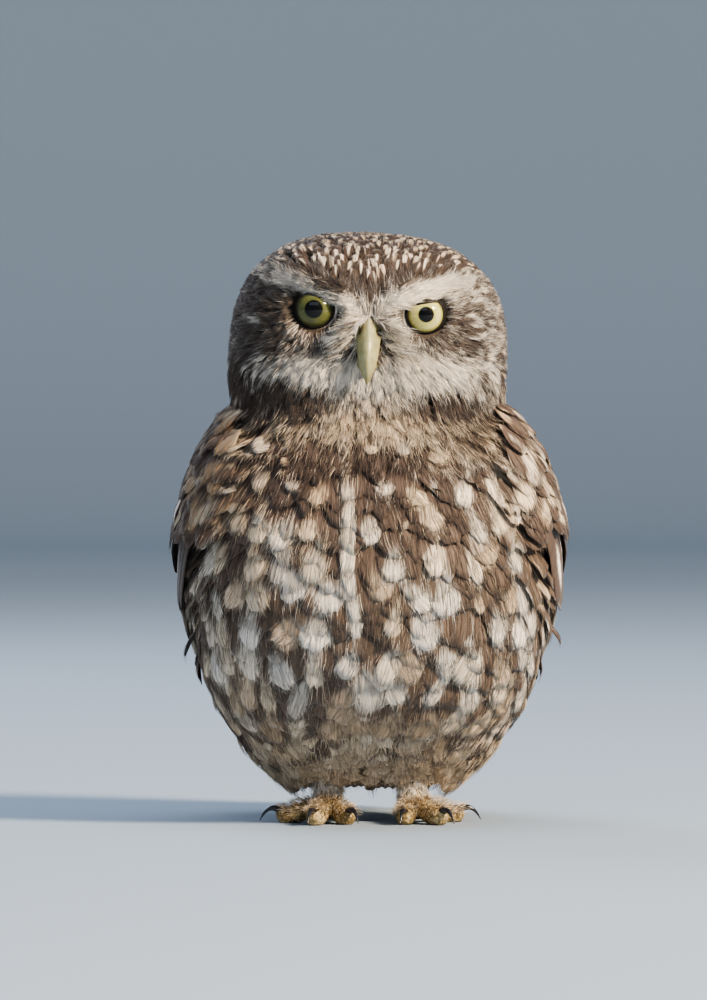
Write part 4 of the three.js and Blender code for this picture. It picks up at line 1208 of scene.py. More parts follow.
def makeBristles():
    # stiff hair-like feathers from the bill's base, over the nostrils and its sides, out and down
    rng = np.random.default_rng(311)
    roots, normals, lies = [], [], []
    for side in (-1, 1):
        u = np.linspace(0, 1, 34)
        for row in range(3):
            w = u + rng.uniform(-0.03, 0.03, len(u))
            x, y, z = (np.interp(w, [0, 0.25, 0.6, 1], way) for way in (
                [0.6, 2.6, 4.0, 4.6], [-37.6, -38.2, -37.6, -36.2], [147.0, 145.2, 140.5, 134.5]))
            roots.append(np.stack([side * (x + 0.7 * row), y + 0.5 * row, z], -1))
            out = np.interp(w, [0, 0.3, 1], [0.5, 0.75, 0.85])
            forward = np.interp(w, [0, 0.3, 1], [-0.55, -0.5, -0.25])
            rise = np.interp(w, [0, 0.3, 0.7, 1], [-0.5, -0.35, -0.3, -0.75])
            ahead = np.stack([side * out, forward, rise], -1)
            lies.append(ahead + 0.12 * rng.standard_normal(ahead.shape))
            normals.append(np.tile([0, -0.8, 0.6], (len(u), 1)) + np.array([side * 0.4, 0, 0]))
    roots, lies, normals = lean(np.concatenate(roots)), unit(np.concatenate(lies)), np.concatenate(normals)
    normals = unit(normals - (normals * lies).sum(-1, keepdims=True) * lies)
    spec = {**featherKinds["face"], "columns": 0, "length": 7.5, "width": 3.0, "lift": 0.5, "depth": 0.0,
            "hairs": 12, "hairSteps": 4, "hair": 0.15, "hairFrom": (0.0, 0.1), "bend": 0.14, "curl": 0.4}
    scale = shortOfEyes(roots, lies, spec["length"] * 1.2)
    return featherMesh(roots, normals, lies, spec, 312, bristleMarks, surface=None, scale=scale)


def bristleMarks(roots, rng):
    # cream to white, with some nearly black
    n = len(roots)
    ground = 0.35 + 0.6 * rng.standard_normal((n, 1, 1))
    pale = mixTone(tones["cream"], tones["white"], rng.random(n))
    pale = eachRoot(varied(pale, rng, 0.06))
    dark = eachRoot(varied(np.tile(tones["slate"] * 0.7, (n, 1)), rng, 0.15))
    return lambda a, share, p: (ground, pale, dark)


coatPiece("coat_brows", [makeBrows(), makeEyeRings(), makeBristles()])

# Vanes: flight and tail feathers and their coverts. Each is a thin closed sheet carried along its shaft,
# arched across, raised at the shaft, and tapered to a rounded tip.

def vaneOutline(share, rootWidth, fullest, tipStart):
    # half width along the shaft: from the root's share up to full, then a half ellipse at the tip
    rise = lerp(rootWidth, 1, smooth(0, fullest, share))
    return rise * np.sqrt(np.maximum(1 - np.maximum((share - tipStart) / (1 - tipStart), 0) ** 2.2, 0.0006))


def vaneMesh(mid, over, spec, rng, marks, pale, dark, place):
    # mid and over hold the shafts' places and upward directions for each feather at each station, and place
    # says which cells of the bake map they take
    count, stations = mid.shape[:2]
    columns = spec["columns"]
    share = np.linspace(0, 1, stations)[None, :, None]
    along = unit(np.gradient(mid, axis=1))
    across = unit(np.cross(over, along))
    over = np.cross(along, across)
    over = over * np.sign((over[:, :1] * spec["up"](mid[:, :1])).sum(-1, keepdims=True) + 1e-12)
    v = np.linspace(-1, 1, columns)[None, None, :]
    v = np.sign(v) * np.abs(v) ** 0.9
    web = np.where(v * spec["leadingSide"] > 0, spec["leadingWeb"], 1.0)
    ragged = 1 + spec["ragged"] * rng.standard_normal((count, stations, 1)) * np.abs(v) ** 6
    half = spec["halfWidth"] * vaneOutline(share, spec["rootWidth"], spec["fullest"], spec["tipStart"])
    x = v * web * half * ragged
    height = -spec["slope"] * x + spec["camber"] * (1 - v**2) * np.minimum(half / spec["halfWidth"] * 1.3, 1)
    height = height + spec["shaft"] * np.exp(-((v / 0.1) ** 2)) * (1 - 0.7 * share)
    height = height + 0.06 * rng.standard_normal((count, 1, 1)) * share
    top = mid[:, :, None] + across[:, :, None] * x[..., None] + over[:, :, None] * height[..., None]
    bottom = top - over[:, :, None] * spec["thickness"]
    rings = np.concatenate([top, bottom[:, :, ::-1]], 2)
    triangles, rims = repeated(sheetFaces(stations, columns), count, stations * 2 * columns)
    triangles = facingOut(rings.reshape(-1, 3), triangles, count)
    length = np.linalg.norm(np.diff(mid, axis=1), axis=-1).sum(1)[:, None, None]
    mark = marks(v * web * spec["leadingSide"] + 0 * x, share + 0 * x, rng)
    lieMap = np.stack([x / 10, share * length / 10 + 3.7 * rng.random((count, 1, 1)) + 0 * x], -1)
    column, row, tall = place
    index = np.arange(count) + row
    u = (index % column + 0.08)[:, None, None] / column + (v + 1) / 2 * 0.84 / column + 0 * x
    w = (index // column + 0.06)[:, None, None] / tall + share * 0.88 / tall + 0 * x
    pale, dark = (np.broadcast_to(tone[:, None, None, :], x.shape + (3,)) for tone in (pale, dark))
    return meshPart(rings, triangles, {"mark": thereAndBack(mark)},
                    {"paleTone": thereAndBack(pale), "darkTone": thereAndBack(dark)},
                    {"lie": thereAndBack(lieMap), "OFBake": thereAndBack(np.stack([u, w], -1))}, rims)


def flightMarks(first, step, number):
    # rounded pale spots in pairs on the two webs, at even shares of the feather's length
    def marks(v, share, rng):
        mark = np.full(v.shape, -1.0)
        for k in range(number):
            middle = first + step * k + 0.012 * rng.standard_normal((v.shape[0], 1, 1))
            mark = np.maximum(mark, drop(np.abs(v), share, 0.82, 0.42, middle, step * 0.3))
        return mark
    return marks


def covertMarks(share0, chance, wide=0.38, long=0.15):
    # one rounded white spot on the web that shows
    def marks(v, share, rng):
        n = v.shape[0]
        aside = 0.38 + 0.08 * rng.standard_normal((n, 1, 1))
        spot = drop(v, share, aside, wide, share0 + 0.02 * rng.standard_normal((n, 1, 1)), long)
        return np.where(rng.random((n, 1, 1)) < chance, spot, -0.9)
    return marks


def barMarks(first, step, number):
    # broad pale bars that droop a little from the shaft
    def marks(v, share, rng):
        mark = np.full(v.shape, -1.0)
        for k in range(number):
            middle = first + step * k - 0.012 * np.abs(v)
            mark = np.maximum(mark, 1 - np.abs(share - middle) / (step * 0.27) - 0.35 * (np.abs(v) < 0.12))
        return mark
    return marks


longVane = {"rootWidth": 0.45, "fullest": 0.5, "tipStart": 0.84, "camber": 0.45, "shaft": 0.22,
            "thickness": 0.14, "ragged": 0.03, "columns": 9, "stations": 26, "leadingWeb": 0.78,
            "leadingSide": 1, "slope": 0.0}
shortVane = {**longVane, "rootWidth": 0.55, "fullest": 0.4, "tipStart": 0.6, "camber": 0.6, "shaft": 0.12,
             "stations": 14, "leadingWeb": 0.95}
wingRows = [
    {"name": "primaries", "count": 8, "roots": ((-17, 88), (13, 88)), "tips": ((32, 31), (66, 10)),
     "halfWidth": 4.9, "lifts": (-0.7, -0.7, 1.0), "bow": -5, "stack": 0.4, "kind": longVane,
     "marks": flightMarks(0.34, 0.13, 5)},
    {"name": "secondaries", "count": 11, "roots": ((2, 92), (50, 98)), "tips": ((38, 38), (80, 44)),
     "halfWidth": 5.4, "lifts": (2.4, 4.0, 0.2), "bow": -3, "kind": longVane,
     "marks": flightMarks(0.42, 0.17, 4)},
    {"name": "tertials", "count": 4, "roots": ((58, 100), (69, 104)), "tips": ((74, 52), (84, 66)),
     "halfWidth": 5.0, "lifts": (2.6, 6.2, 0.4), "kind": longVane, "marks": flightMarks(0.22, 0.2, 4)},
    {"name": "primary coverts", "count": 6, "roots": ((-24, 99), (-10, 97)), "tips": ((-10, 62), (12, 62)),
     "halfWidth": 4.2, "lifts": (1.4, 3.4, 0.5), "kind": shortVane, "marks": covertMarks(0.66, 0.5)},
    {"name": "greater coverts", "count": 11, "roots": ((-2, 101), (56, 106)), "tips": ((17, 71), (68, 80)),
     "halfWidth": 4.6, "lifts": (2.2, 6.0, 0.7), "kind": shortVane, "marks": covertMarks(0.74, 0.65)},
    {"name": "median coverts", "count": 11, "roots": ((-17, 109), (52, 113)), "tips": ((-4, 85), (62, 92)),
     "halfWidth": 4.8, "lifts": (2.0, 6.2, 0.8), "kind": shortVane, "marks": covertMarks(0.74, 0.65)},
]
armLevels = [(120, -14, 52), (115, -25, 65), (106, -28, 72), (95, -26, 74), (86, -18, 66), (81, -8, 50)]
wingStep = 0.42  # how far one vane lies over the next
hiddenMark = {"wing": -1.0, "tail": -0.6}  # the forms under the vanes are all dark


def outOfWing(p):
    # level directions away from the wing's own axis
    return (p - [0, 10, 0]) * [1, 1, 0]


def wingRow(side, row, seed, place):
    # a row of vanes over the folded wing, whose shafts run from a line of roots to a line of tips. Each is
    # turned about its shaft so that it rises over the next by wingStep.
    rng = np.random.default_rng(seed)
    n, kind = row["count"], row["kind"]
    t = np.linspace(0, 1, n)[:, None]
    share = np.linspace(0, 1, kind["stations"])[None, :]
    wobble = 0.6 * np.sin(4.1 * np.arange(n)[:, None] + 1.3)

    def midline(t, share, wobble=0.0):
        rootTurn, rootHeight = (lerp(*ends, t) for ends in zip(*row["roots"]))
        tipTurn, tipHeight = (lerp(*ends, t) for ends in zip(*row["tips"]))
        low, high, rise = row["lifts"]
        lift = lerp(low, high, np.minimum(share / rise, 1))
        lift = lift + row.get("stack", 0) * t * (n - 1)
        degrees = lerp(rootTurn, tipTurn, share) + row.get("bow", 0) * np.sin(math.pi * share)
        return wingPoint(side, degrees, lerp(rootHeight, tipHeight + wobble, share), lift), degrees

    mid, degrees = midline(t, share, wobble)
    z = mid[..., 2]
    level = wingPoint(side, degrees + 3, z, 0) - wingPoint(side, degrees - 3, z, 0)
    along = unit(np.gradient(mid, axis=1))
    over = unit(np.cross(level, along))
    ahead = unit(midline(0.5, 0.77)[0] - midline(0.5, 0.73)[0])
    step = midline(0.5 + 0.5 / (n - 1), 0.75)[0] - midline(0.5 - 0.5 / (n - 1), 0.75)[0]
    spacing = np.linalg.norm(step - (step * ahead).sum() * ahead)
    flip = np.sign((over[:, :1] * outOfWing(mid[:, :1])).sum(-1)).mean()
    leading = np.sign((np.cross(over[0, 0] * flip, along[0, 0]) * step).sum())
    spec = {**kind, "halfWidth": row["halfWidth"], "up": outOfWing, "leadingSide": -leading,
            "slope": 0.0 if "stack" in row else leading * wingStep / spacing}
    pale = mixTone(tones["cream"], tones["white"], 0.55) * (1 + 0.06 * rng.standard_normal((n, 1)))
    dark = mixTone(tones["brown"], tones["deep"], 0.35) * (1 + 0.14 * rng.standard_normal((n, 1)))
    return vaneMesh(mid, over, spec, rng, row["marks"], pale, dark, place)


def hiddenForm(rings, mark, bakeAxes, bakeCorner):
    # the brown form under the vanes, which is baked into a corner of their map
    places, triangles = closedTube(rings)
    each = (len(places), 1)
    return meshPart(places, triangles, {"mark": np.full(each, mark)},
                    {"paleTone": np.tile(tones["cream"], each),
                     "darkTone": np.tile(tones["brown"] * 0.8, each)},
                    {"lie": places[:, :2] / 10, "OFBake": places[:, bakeAxes] / 4000 + bakeCorner})


def wingArm(side):
    # the arm under the coverts: an outer and an inner surface between its leading and trailing edges
    t = np.linspace(0, 1, 13)[None, :]
    z, leading, trailing = np.array(armLevels, float).T[..., None]
    full = np.sin(math.pi * (np.arange(6)[:, None] + 0.6) / 6.2) ** 0.5
    rise = np.sin(math.pi * (0.08 + 0.84 * t)) ** 0.4
    outer = wingPoint(side, lerp(leading, trailing, t), z + 0 * t, 2.9 * full * rise)
    inner = wingPoint(side, lerp(leading, trailing, t), z + 0 * t, -1.6 + 0 * full * rise)
    return hiddenForm(np.concatenate([outer, inner[:, ::-1]], 1), hiddenMark["wing"], [1, 2], [0.97, 0.95])


def makeWing(label, side):
    # the arm and every row of one folded wing
    columns, first = 10, 0
    tall = math.ceil(sum(row["count"] for row in wingRows) / columns) + 1
    parts = [wingArm(side)]
    for k, row in enumerate(wingRows):
        parts.append(wingRow(side, row, 100 + k + (50 if side > 0 else 0), (columns, first, tall)))
        first += row["count"]
    makePiece("wing_feathers_" + label, parts, vaneMaterial, ["wing_" + label])


makeWing("right", -1)
makeWing("left", 1)


def makeShoulder(side, seed):
    # small coverts and scapulars over the arm of the wing, from its leading edge to the back
    spec = featherKinds["shoulder"]
    rng = np.random.default_rng(seed)
    found, ahead = [], []
    for i, z in enumerate(np.arange(84, 126.5, spec["along"] * 0.82)):
        low = lerp(44, -34, smooth(86, 93, z)) + 8 * smooth(112, 123, z)
        high = 92 - 8 * smooth(112, 124, z)
        count = int(math.radians(high - low) * 50 / spec["across"])
        stagger = 0.5 * (i % 2) + rng.uniform(-0.3, 0.3, count)
        degrees = low + (high - low) * (np.arange(count) + stagger) / count
        height = z + rng.uniform(-1.2, 1.2, count)
        here = wingPoint(side, degrees, height, 0)
        found.append(here)
        ahead.append(wingPoint(side, degrees + 0.9, height - 2, 0) - here)
    roots, lie = np.concatenate(found), np.concatenate(ahead)
    roots, normals = onWing(roots)
    lie = unit(lie - (lie * normals).sum(-1, keepdims=True) * normals)
    return featherMesh(roots, normals, lie, spec, seed + 1, shoulderMarks, surface=onWing)


coatPiece("coat_shoulders", [makeShoulder(-1, 401), makeShoulder(1, 411)])

# Tail
tail = {"root": np.array([0, 30, 50.0]), "tip": np.array([0, 73, 3.2]), "step": 2.15, "halfWidth": 4.4,
        "coverts": 7, "covertStep": 3.4, "covertHalfWidth": 4.0}
tailCoverts = [
    {"start": 18, "length": 28, "lifts": (5.0, 6.6), "marks": barMarks(0.45, 0.2, 3), "seed": 202},
    {"start": 12, "length": 24, "lifts": (5.8, 7.4), "marks": barMarks(0.45, 0.2, 3), "seed": 203},
    {"start": 14, "length": 36, "lifts": (-4.6, -3.2), "marks": covertMarks(0.6, 1.0, 0.9, 0.5), "seed": 204},
]
tailAlong = tail["tip"] - tail["root"]
tailLength = float(np.linalg.norm(tailAlong))
tailAlong = tailAlong / tailLength
tailOver = np.array([0, -tailAlong[2], tailAlong[1]])


def tailPoint(x, down, lift):
    # across, down the tail from its root, and over its plane
    return (tail["root"] + np.asarray(down)[..., None] * tailAlong + np.asarray(lift)[..., None] * tailOver
            + np.asarray(x)[..., None] * np.array([1.0, 0, 0]))


def tailRow(x, start, length, lifts, halfWidth, gathered, kind, marks, seed, place):
    # vanes side by side down the tail, whose roots are gathered to a share of their tips' width
    rng = np.random.default_rng(seed)
    share = np.linspace(0, 1, kind["stations"])[None, :]
    low, high = (lift[:, None] for lift in lifts)
    mid = tailPoint(x[:, None] * lerp(gathered, 1, share), start + length[:, None] * share,
                    lerp(low, high, share))
    spec = {**kind, "halfWidth": halfWidth, "up": lambda p: tailOver + 0 * p}
    pale = tones["cream"] * (1 + 0.06 * rng.standard_normal((len(x), 1)))
    dark = tones["brown"] * (1 + 0.1 * rng.standard_normal((len(x), 1)))
    return vaneMesh(mid, np.broadcast_to(tailOver, mid.shape), spec, rng, marks, pale, dark, place)


def makeTail():
    # six pairs of tail feathers, the coverts over and under their roots, and the form that they lie on
    pair = np.repeat(np.arange(6), 2)
    way = np.tile([-1, 1], 6)
    lift = 4.4 - 0.45 * (2 * pair + (way > 0))
    kind = {**longVane, "rootWidth": 0.5, "tipStart": 0.88, "camber": 0.3}
    parts = [tailRow(way * (0.45 + tail["step"] * pair), 0, tailLength - 0.5 * pair**1.3, (lift, lift),
                     tail["halfWidth"], 0.35, kind, barMarks(0.4, 0.125, 5), 201, (6, 0, 6))]
    each = np.arange(tail["coverts"])
    aside = each - (tail["coverts"] - 1) / 2
    for k, row in enumerate(tailCoverts):
        parts.append(tailRow(aside * tail["covertStep"], row["start"], row["length"] - 1.2 * np.abs(aside),
                             [level - 0.3 * (each % 2) for level in row["lifts"]], tail["covertHalfWidth"],
                             0.8, shortVane, row["marks"], row["seed"], (6, 12 + 7 * k, 6)))
    down, radius = np.array([[0, 14, 26, 36.0], [13, 12.5, 10.5, 7]])[..., None]
    turn = np.linspace(0, 2 * math.pi, 24, endpoint=False)
    core = tailPoint(radius * np.cos(turn), down + 0 * turn, 0.4 + 0.5 * radius * np.sin(turn))
    parts.append(hiddenForm(core, hiddenMark["tail"], [0, 1], 0.97))
    makePiece("tail_feathers", parts, vaneMaterial, ["tail"])


makeTail()


def smoothThrough(rows, count):
    # a Catmull-Rom curve through the rows, sampled evenly from row to row
    rows = np.array(rows, float)
    before = np.vstack([2 * rows[:1] - rows[1:2], rows[:-2]])
    after = np.vstack([rows[2:], 2 * rows[-1:] - rows[-2:-1]])
    at = np.linspace(0, len(rows) - 1, count)
    i = np.minimum(at.astype(int), len(rows) - 2)
    return catmullRom(before[i], rows[i], rows[i + 1], after[i], (at - i)[:, None])


def sweepRings(points, radii):
    # rings carried along a path at right angles to it, with a radius for each place and side
    along = unit(np.gradient(points, axis=0))
    across = unit(np.cross(along, np.array([0.02, 0.1, 1.0])))
    over = np.cross(across, along)
    turn = np.linspace(0, 2 * math.pi, radii.shape[1], endpoint=False)
    return (points[:, None] + across[:, None] * (radii * np.cos(turn))[..., None]
            + over[:, None] * (radii * np.sin(turn))[..., None])


# Eyes
eyeLook = {"pupil": {"right": 2.5, "left": 2.15}, "rows": 60, "columns": 96, "behind": 1.3}
# the right eye's tones are darker and more olive than the left's: painted shade from the brow
irisAndShadeTones = {"right": ("#34361a", "#5c5f36", "#686b41", "#525532"),
             "left": ("#6d6a33", "#c5bf74", "#dad48e", "#b0aa5e")}


def eyeFrame(side):
    # the eye's centre, its line of sight, and the directions across it and up
    axis = np.array([side * math.sin(eye["diverge"]), -math.cos(eye["diverge"]), 0])
    across = np.array([-axis[1], axis[0], 0])
    centre = np.array([side * eye["side"], eye["depth"], eye["height"]], float)
    return centre, axis, across, np.array([0, 0, 1.0])


def eyeMaterial(label):
    # a wet cornea over a lemon iris: fine radial fibres, a dark rim, and the black pupil. The right eye's
    # iris is darkened to olive, which is painted shade from the brow.
    material, tree, shader = newMaterial("cornea over iris " + label, {
        "Roughness": 0.5, "Specular IOR Level": 0.1, "Coat Weight": 1.0, "Coat Roughness": 0.02,
        "Coat IOR": 1.4})
    place = addNode(tree, "UVMap", {"uv_map": "iris"})
    radius = addNode(tree, "VectorMath", {"operation": "LENGTH"}, {0: place.outputs["UV"]})
    turn = addNode(tree, "TexGradient", {"gradient_type": "RADIAL"}, {"Vector": place.outputs["UV"]})
    circle = addNode(tree, "CombineXYZ", links={"X": turn.outputs["Fac"], "Y": radius.outputs["Value"]})
    scaled = addNode(tree, "VectorMath", {"operation": "MULTIPLY", 1: (90, 5, 1)}, {0: circle.outputs[0]})
    fibre = addNode(tree, "TexNoise", {"noise_dimensions": "2D", "Scale": 1.0, "Detail": 3.0},
                    {"Vector": scaled.outputs[0]})
    ramp = addNode(tree, "ValToRGB", links={"Fac": radius.outputs["Value"]})
    inmost, within, main, outer = irisAndShadeTones[label]
    pupil = eyeLook["pupil"][label] / 10
    setStops(ramp, [(pupil - 0.006, "#020202"), (pupil + 0.006, inmost), (pupil + 0.03, within),
                    (0.40, main), (0.47, outer), (0.51, "#3b3c18"), (0.53, "#060504")])
    light = addNode(tree, "MapRange", {"From Min": 0.3, "From Max": 0.7, "To Min": 0.82, "To Max": 1.12},
                    {"Value": fibre.outputs["Fac"]})
    colour = addNode(tree, "VectorMath", {"operation": "SCALE"},
                     {0: ramp.outputs["Color"], "Scale": light.outputs["Result"]})
    tree.links.new(colour.outputs[0], shader.inputs["Base Color"])
    return material


def makeEye(label, side):
    # the greater of two spheres, the eyeball and the cornea set forward of it, turned about the line of
    # sight. Its iris map is in centimetres, and both maps are wider over the part behind the lids.
    turn = np.linspace(0.02, math.pi * 0.99, eyeLook["rows"])
    along, aside = np.cos(turn), np.sin(turn) * eye["corneaForward"]
    cornea = eye["corneaForward"] * along + np.sqrt(np.maximum(eye["corneaRadius"] ** 2 - aside**2, 0))
    r = (eye["radius"] + cornea + np.sqrt((eye["radius"] - cornea) ** 2 + 0.08)) / 2
    centre, axis, across, up = eyeFrame(side)
    ring = np.linspace(0, 2 * math.pi, eyeLook["columns"], endpoint=False)
    x, y = ((r * np.sin(turn))[:, None] * way for way in (np.cos(ring), np.sin(ring)))
    p = centre + x[..., None] * across + y[..., None] * up + (r * np.cos(turn))[:, None, None] * axis
    flat = np.stack([x, y], -1).reshape(-1, 2)
    behind = np.repeat(turn > eyeLook["behind"], eyeLook["columns"])[:, None]
    iris = (flat / 10 + np.where(behind, np.sign(flat) * 0.6, 0), [[0, 0], [0, 0]])
    bake = (flat * np.where(behind, 1.6, 1), [[0, 0], [13, 13]])
    maps = {"iris": np.concatenate(iris), "OFBake": np.concatenate(bake) / 30 + 0.5}
    makePiece("eye_ball_" + label, [meshPart(*closedTube(lean(p)), maps=maps)], eyeMaterial(label),
              ["eye_" + label])


makeEye("right", -1)
makeEye("left", 1)

# Lids: a rim of bare black skin round each eye. The upper one hangs lowest towards the bill.
lid = {"outer": 6.8, "open": 5.0, "top": {-1: 3.6, 1: 3.0}, "topTilt": 0.2, "inner": 4.4, "innerTilt": 0.75,
       "thickness": 0.5, "under": 0.5, "around": 144, "stations": 12}


def lidMaterial():
    # bare eyelid skin: nearly black, finely creased, a little moist
    material, tree, shader = newMaterial("bare lid skin", {"Roughness": 0.42, "IOR": 1.4})
    where = addNode(tree, "TexCoord")
    crease = addNode(tree, "TexVoronoi", {"Scale": 2200.0}, {"Vector": where.outputs["Object"]})
    colour = addNode(tree, "Mix", {"data_type": "RGBA"})
    tree.links.new(crease.outputs["Distance"], colour.inputs[0])
    colour.inputs[6].default_value = (*linear("#12100f"), 1)
    colour.inputs[7].default_value = (*linear("#2e2924"), 1)
    tree.links.new(colour.outputs[2], shader.inputs["Base Color"])
    relief = addNode(tree, "Bump", {"Strength": 0.5, "Distance": 0.0001},
                     {"Height": crease.outputs["Distance"]})
    tree.links.new(relief.outputs["Normal"], shader.inputs["Normal"])
    return material


def corneaHeight(r):
    # how far forward the eye's surface lies at a distance from the line of sight
    ball = np.sqrt(np.maximum(eye["radius"] ** 2 - r**2, 0))
    return np.maximum(ball, eye["corneaForward"] + np.sqrt(np.maximum(eye["corneaRadius"] ** 2 - r**2, 0)))


def makeLids():
    # a band from the eye's opening out to the feathers, lying on the eye, thickest near the opening. The
    # opening is a circle cut off by a straight brow above and a slanting one towards the bill.
    parts = []
    turn = np.linspace(0, 2 * math.pi, lid["around"], endpoint=False)
    share = np.linspace(0, 1, lid["stations"])[None, :]
    for side in (-1, 1):
        centre, axis, across, up = eyeFrame(side)
        u, v = side * np.cos(turn), np.sin(turn)
        limits = [np.full(len(turn), lid["open"])]
        for reach, tilt in ((lid["top"][side], lid["topTilt"]), (lid["inner"], lid["innerTilt"])):
            towards = (v - tilt * u) / math.hypot(1, tilt)
            limits.append(reach / np.maximum(towards, 0.05))
        opening = sum(limit**-14.0 for limit in limits) ** (-1 / 14)
        r = lerp(opening[:, None], lid["outer"], share)
        rim = np.sqrt(np.maximum(1 - (1 - share / 0.3).clip(0, 1) ** 2, 0))
        over = corneaHeight(r) + lid["thickness"] * rim * (1.15 - 0.4 * share)
        under = corneaHeight(r) - lid["under"]
        section = np.stack([np.concatenate([r, r[:, ::-1]], 1),
                            np.concatenate([over, under[:, ::-1]], 1)], -1)
        out = np.cos(turn)[:, None] * across + np.sin(turn)[:, None] * up
        p = centre + section[..., :1] * out[:, None] + section[..., 1:] * axis
        sides = 2 * lid["stations"]
        parts.append(meshPart(lean(p), gridFaces(lid["around"] + 1, sides) % (lid["around"] * sides)))
    makePiece("lids", parts, lidMaterial())


makeLids()

# Bill
# y, height, half width and half depth down each half's midline
billLine = [[-31, 143.8, 3.2, 3.8], [-37, 142.6, 3.3, 3.6], [-40.6, 139.6, 3.3, 3.3],
            [-42.6, 136.2, 3.1, 2.9], [-43.4, 132.4, 2.4, 2.2], [-43.1, 129.6, 1.4, 1.3],
            [-42.3, 127.4, 0.3, 0.35]]
lowerBillLine = [[-30, 135.2, 3.6, 2.2], [-36, 134.2, 3.6, 2.0], [-39.0, 132.2, 2.7, 1.5],
                 [-40.2, 130.6, 1.2, 0.8]]
cere = {"middle": (3.0, -38.6, 142.0), "reach": 2.3, "swell": 0.9}
# the nostril's pit, and the patch round it that is painted dark as shade in the pit
nostril = {"middle": (3.6, -40.2, 142.2), "reach": 1.05, "deep": 1.5, "pitShade": (3.2, -39.7, 142.2),
           "pitShadeReach": 1.3}


def hornMaterial():
    # bill horn: smooth pale keratin, translucent at the edges, with faint growth lines and dull scuffs
    material, tree, shader = newMaterial("bill horn", {
        "Roughness": 0.34, "IOR": 1.55, "Subsurface Weight": 0.25, "Subsurface Scale": 0.0012})
    where = addNode(tree, "TexCoord")
    cloud = addNode(tree, "TexNoise", {"Scale": 420.0, "Detail": 4.0}, {"Vector": where.outputs["Object"]})
    mark = addNode(tree, "Attribute", {"attribute_name": "mark"})
    tone = addNode(tree, "Math", {"operation": "MULTIPLY_ADD", 1: 0.55},
                   {0: cloud.outputs["Fac"], 2: mark.outputs["Fac"]})
    ramp = addNode(tree, "ValToRGB", links={"Fac": tone.outputs[0]})
    setStops(ramp, [(0.0, "#1c1712"), (0.12, "#4a4530"), (0.3, "#7d7850"), (0.62, "#aaa477"),
                    (0.95, "#d0caa2")])
    tree.links.new(ramp.outputs["Color"], shader.inputs["Base Color"])
    lines = addNode(tree, "TexWave", {"Scale": 260.0, "Distortion": 3.0, "Detail": 2.0},
                    {"Vector": where.outputs["Object"]})
    relief = addNode(tree, "Bump", {"Strength": 0.12, "Distance": 0.0002}, {"Height": lines.outputs["Fac"]})
    tree.links.new(relief.outputs["Normal"], shader.inputs["Normal"])
    return material


def near(p, middle, side, reach):
    # one at a middle on one side of the bird, falling off as a bell over a reach
    return np.exp(-(((p - np.array(middle) * [side, 1, 1]) ** 2).sum(-1) / reach**2))


def billSolid(line, stations=48, sides=40):
    # an ellipse carried along the bill's midline, narrowed over the top to a rounded ridge, then swollen at
    # the cere and drawn in at the nostril
    y, z, half, depth = smoothThrough(line, stations).T
    along = unit(np.gradient(np.stack([0 * y, y, z], -1), axis=0))
    over = np.stack([0 * y, along[:, 2], -along[:, 1]], -1)
    over = over * np.where(over[:, 1:2] > 0, -1, 1)
    turn = np.linspace(0, 2 * math.pi, sides, endpoint=False)
    x = half[:, None] * np.cos(turn) * (1 - 0.5 * np.maximum(np.sin(turn), 0) ** 1.2)
    p = np.stack([x, y[:, None] + 0 * x, z[:, None] + 0 * x], -1)
    p = p + over[:, None] * (depth[:, None] * np.sin(turn))[..., None]
    for side in (-1, 1):
        away = p - np.array(cere["middle"]) * [side, 1, 1]
        swell = cere["swell"] * near(p, cere["middle"], side, cere["reach"])
        p = p + unit(away + [side, -1, 0.3]) * swell[..., None]
        pit = near(p, nostril["middle"], side, nostril["reach"])
        p = p + pit[..., None] * [-side * nostril["deep"], 1, 0]
    return p


def makeBill():
    # upper and lower bill, paler along the ridge as a painted highlight, dark at the nostrils as painted
    # shade in their pits, and dark at the tip
    parts = []
    for line, lower in ((billLine, 0), (lowerBillLine, 0.12)):
        rings = billSolid(line)
        p = np.concatenate([rings.reshape(-1, 3), rings[[0, -1]].mean(1)])
        x, _, z = axes(p)
        pits = sum(near(p, nostril["pitShade"], side, nostril["pitShadeReach"]) for side in (-1, 1))
        # paler along the ridge: a painted highlight
        tone = 0.28 + 0.16 * smooth(6, 0, np.abs(x) * 2) * smooth(128, 136, z) - 0.75 * pits - lower
        tone = tone - 0.12 * smooth(131, 127.5, z)
        parts.append(meshPart(*closedTube(lean(rings)), {"mark": tone}))
    makePiece("bill_horn", parts, hornMaterial(), ["bill_upper", "bill_lower"])


makeBill()

# Legs and feet
ankle = {"side": 12.2, "depth": -3.0, "height": 8.7, "slope": 0.15, "turnOut": {-1: -2, 1: 14}}
shankLevels = [(31, 6.4), (22, 5.2), (15, 4.1), (9, 3.6), (5, 3.9), (1.5, 3.3)]  # height and radius
toes = {
    "inner": {"turn": -24, "length": 13.5, "radius": 2.7, "claw": 9.5},
    "middle": {"turn": 16, "length": 16.5, "radius": 2.8, "claw": 10.5},
    "outer": {"turn": 82, "length": 13.5, "radius": 2.6, "claw": 9.5},
    "hind": {"turn": 172, "length": 9.5, "radius": 2.5, "claw": 9},
}
fusedVoxel = 0.00036


def shankMiddle(side, z):
    # the shank's midline, which leans back as it rises from the ankle
    rise = np.maximum(z - ankle["height"], 0)
    return np.stack([side * ankle["side"] + 0 * z, ankle["depth"] + rise * ankle["slope"], z], -1)


def toeWay(side, toe):
    # a toe's level direction
    angle = math.radians(toe["turn"] + ankle["turnOut"][side])
    return np.array([side * math.sin(angle), -math.cos(angle), 0])


def toePoints(side, toe, shares, heights):
    # places at shares of a toe's length and at the given heights
    out = np.outer(np.asarray(shares) * toe["length"], toeWay(side, toe))
    return [side * ankle["side"], ankle["depth"], 0] + out + np.outer(heights, [0, 0, 1])


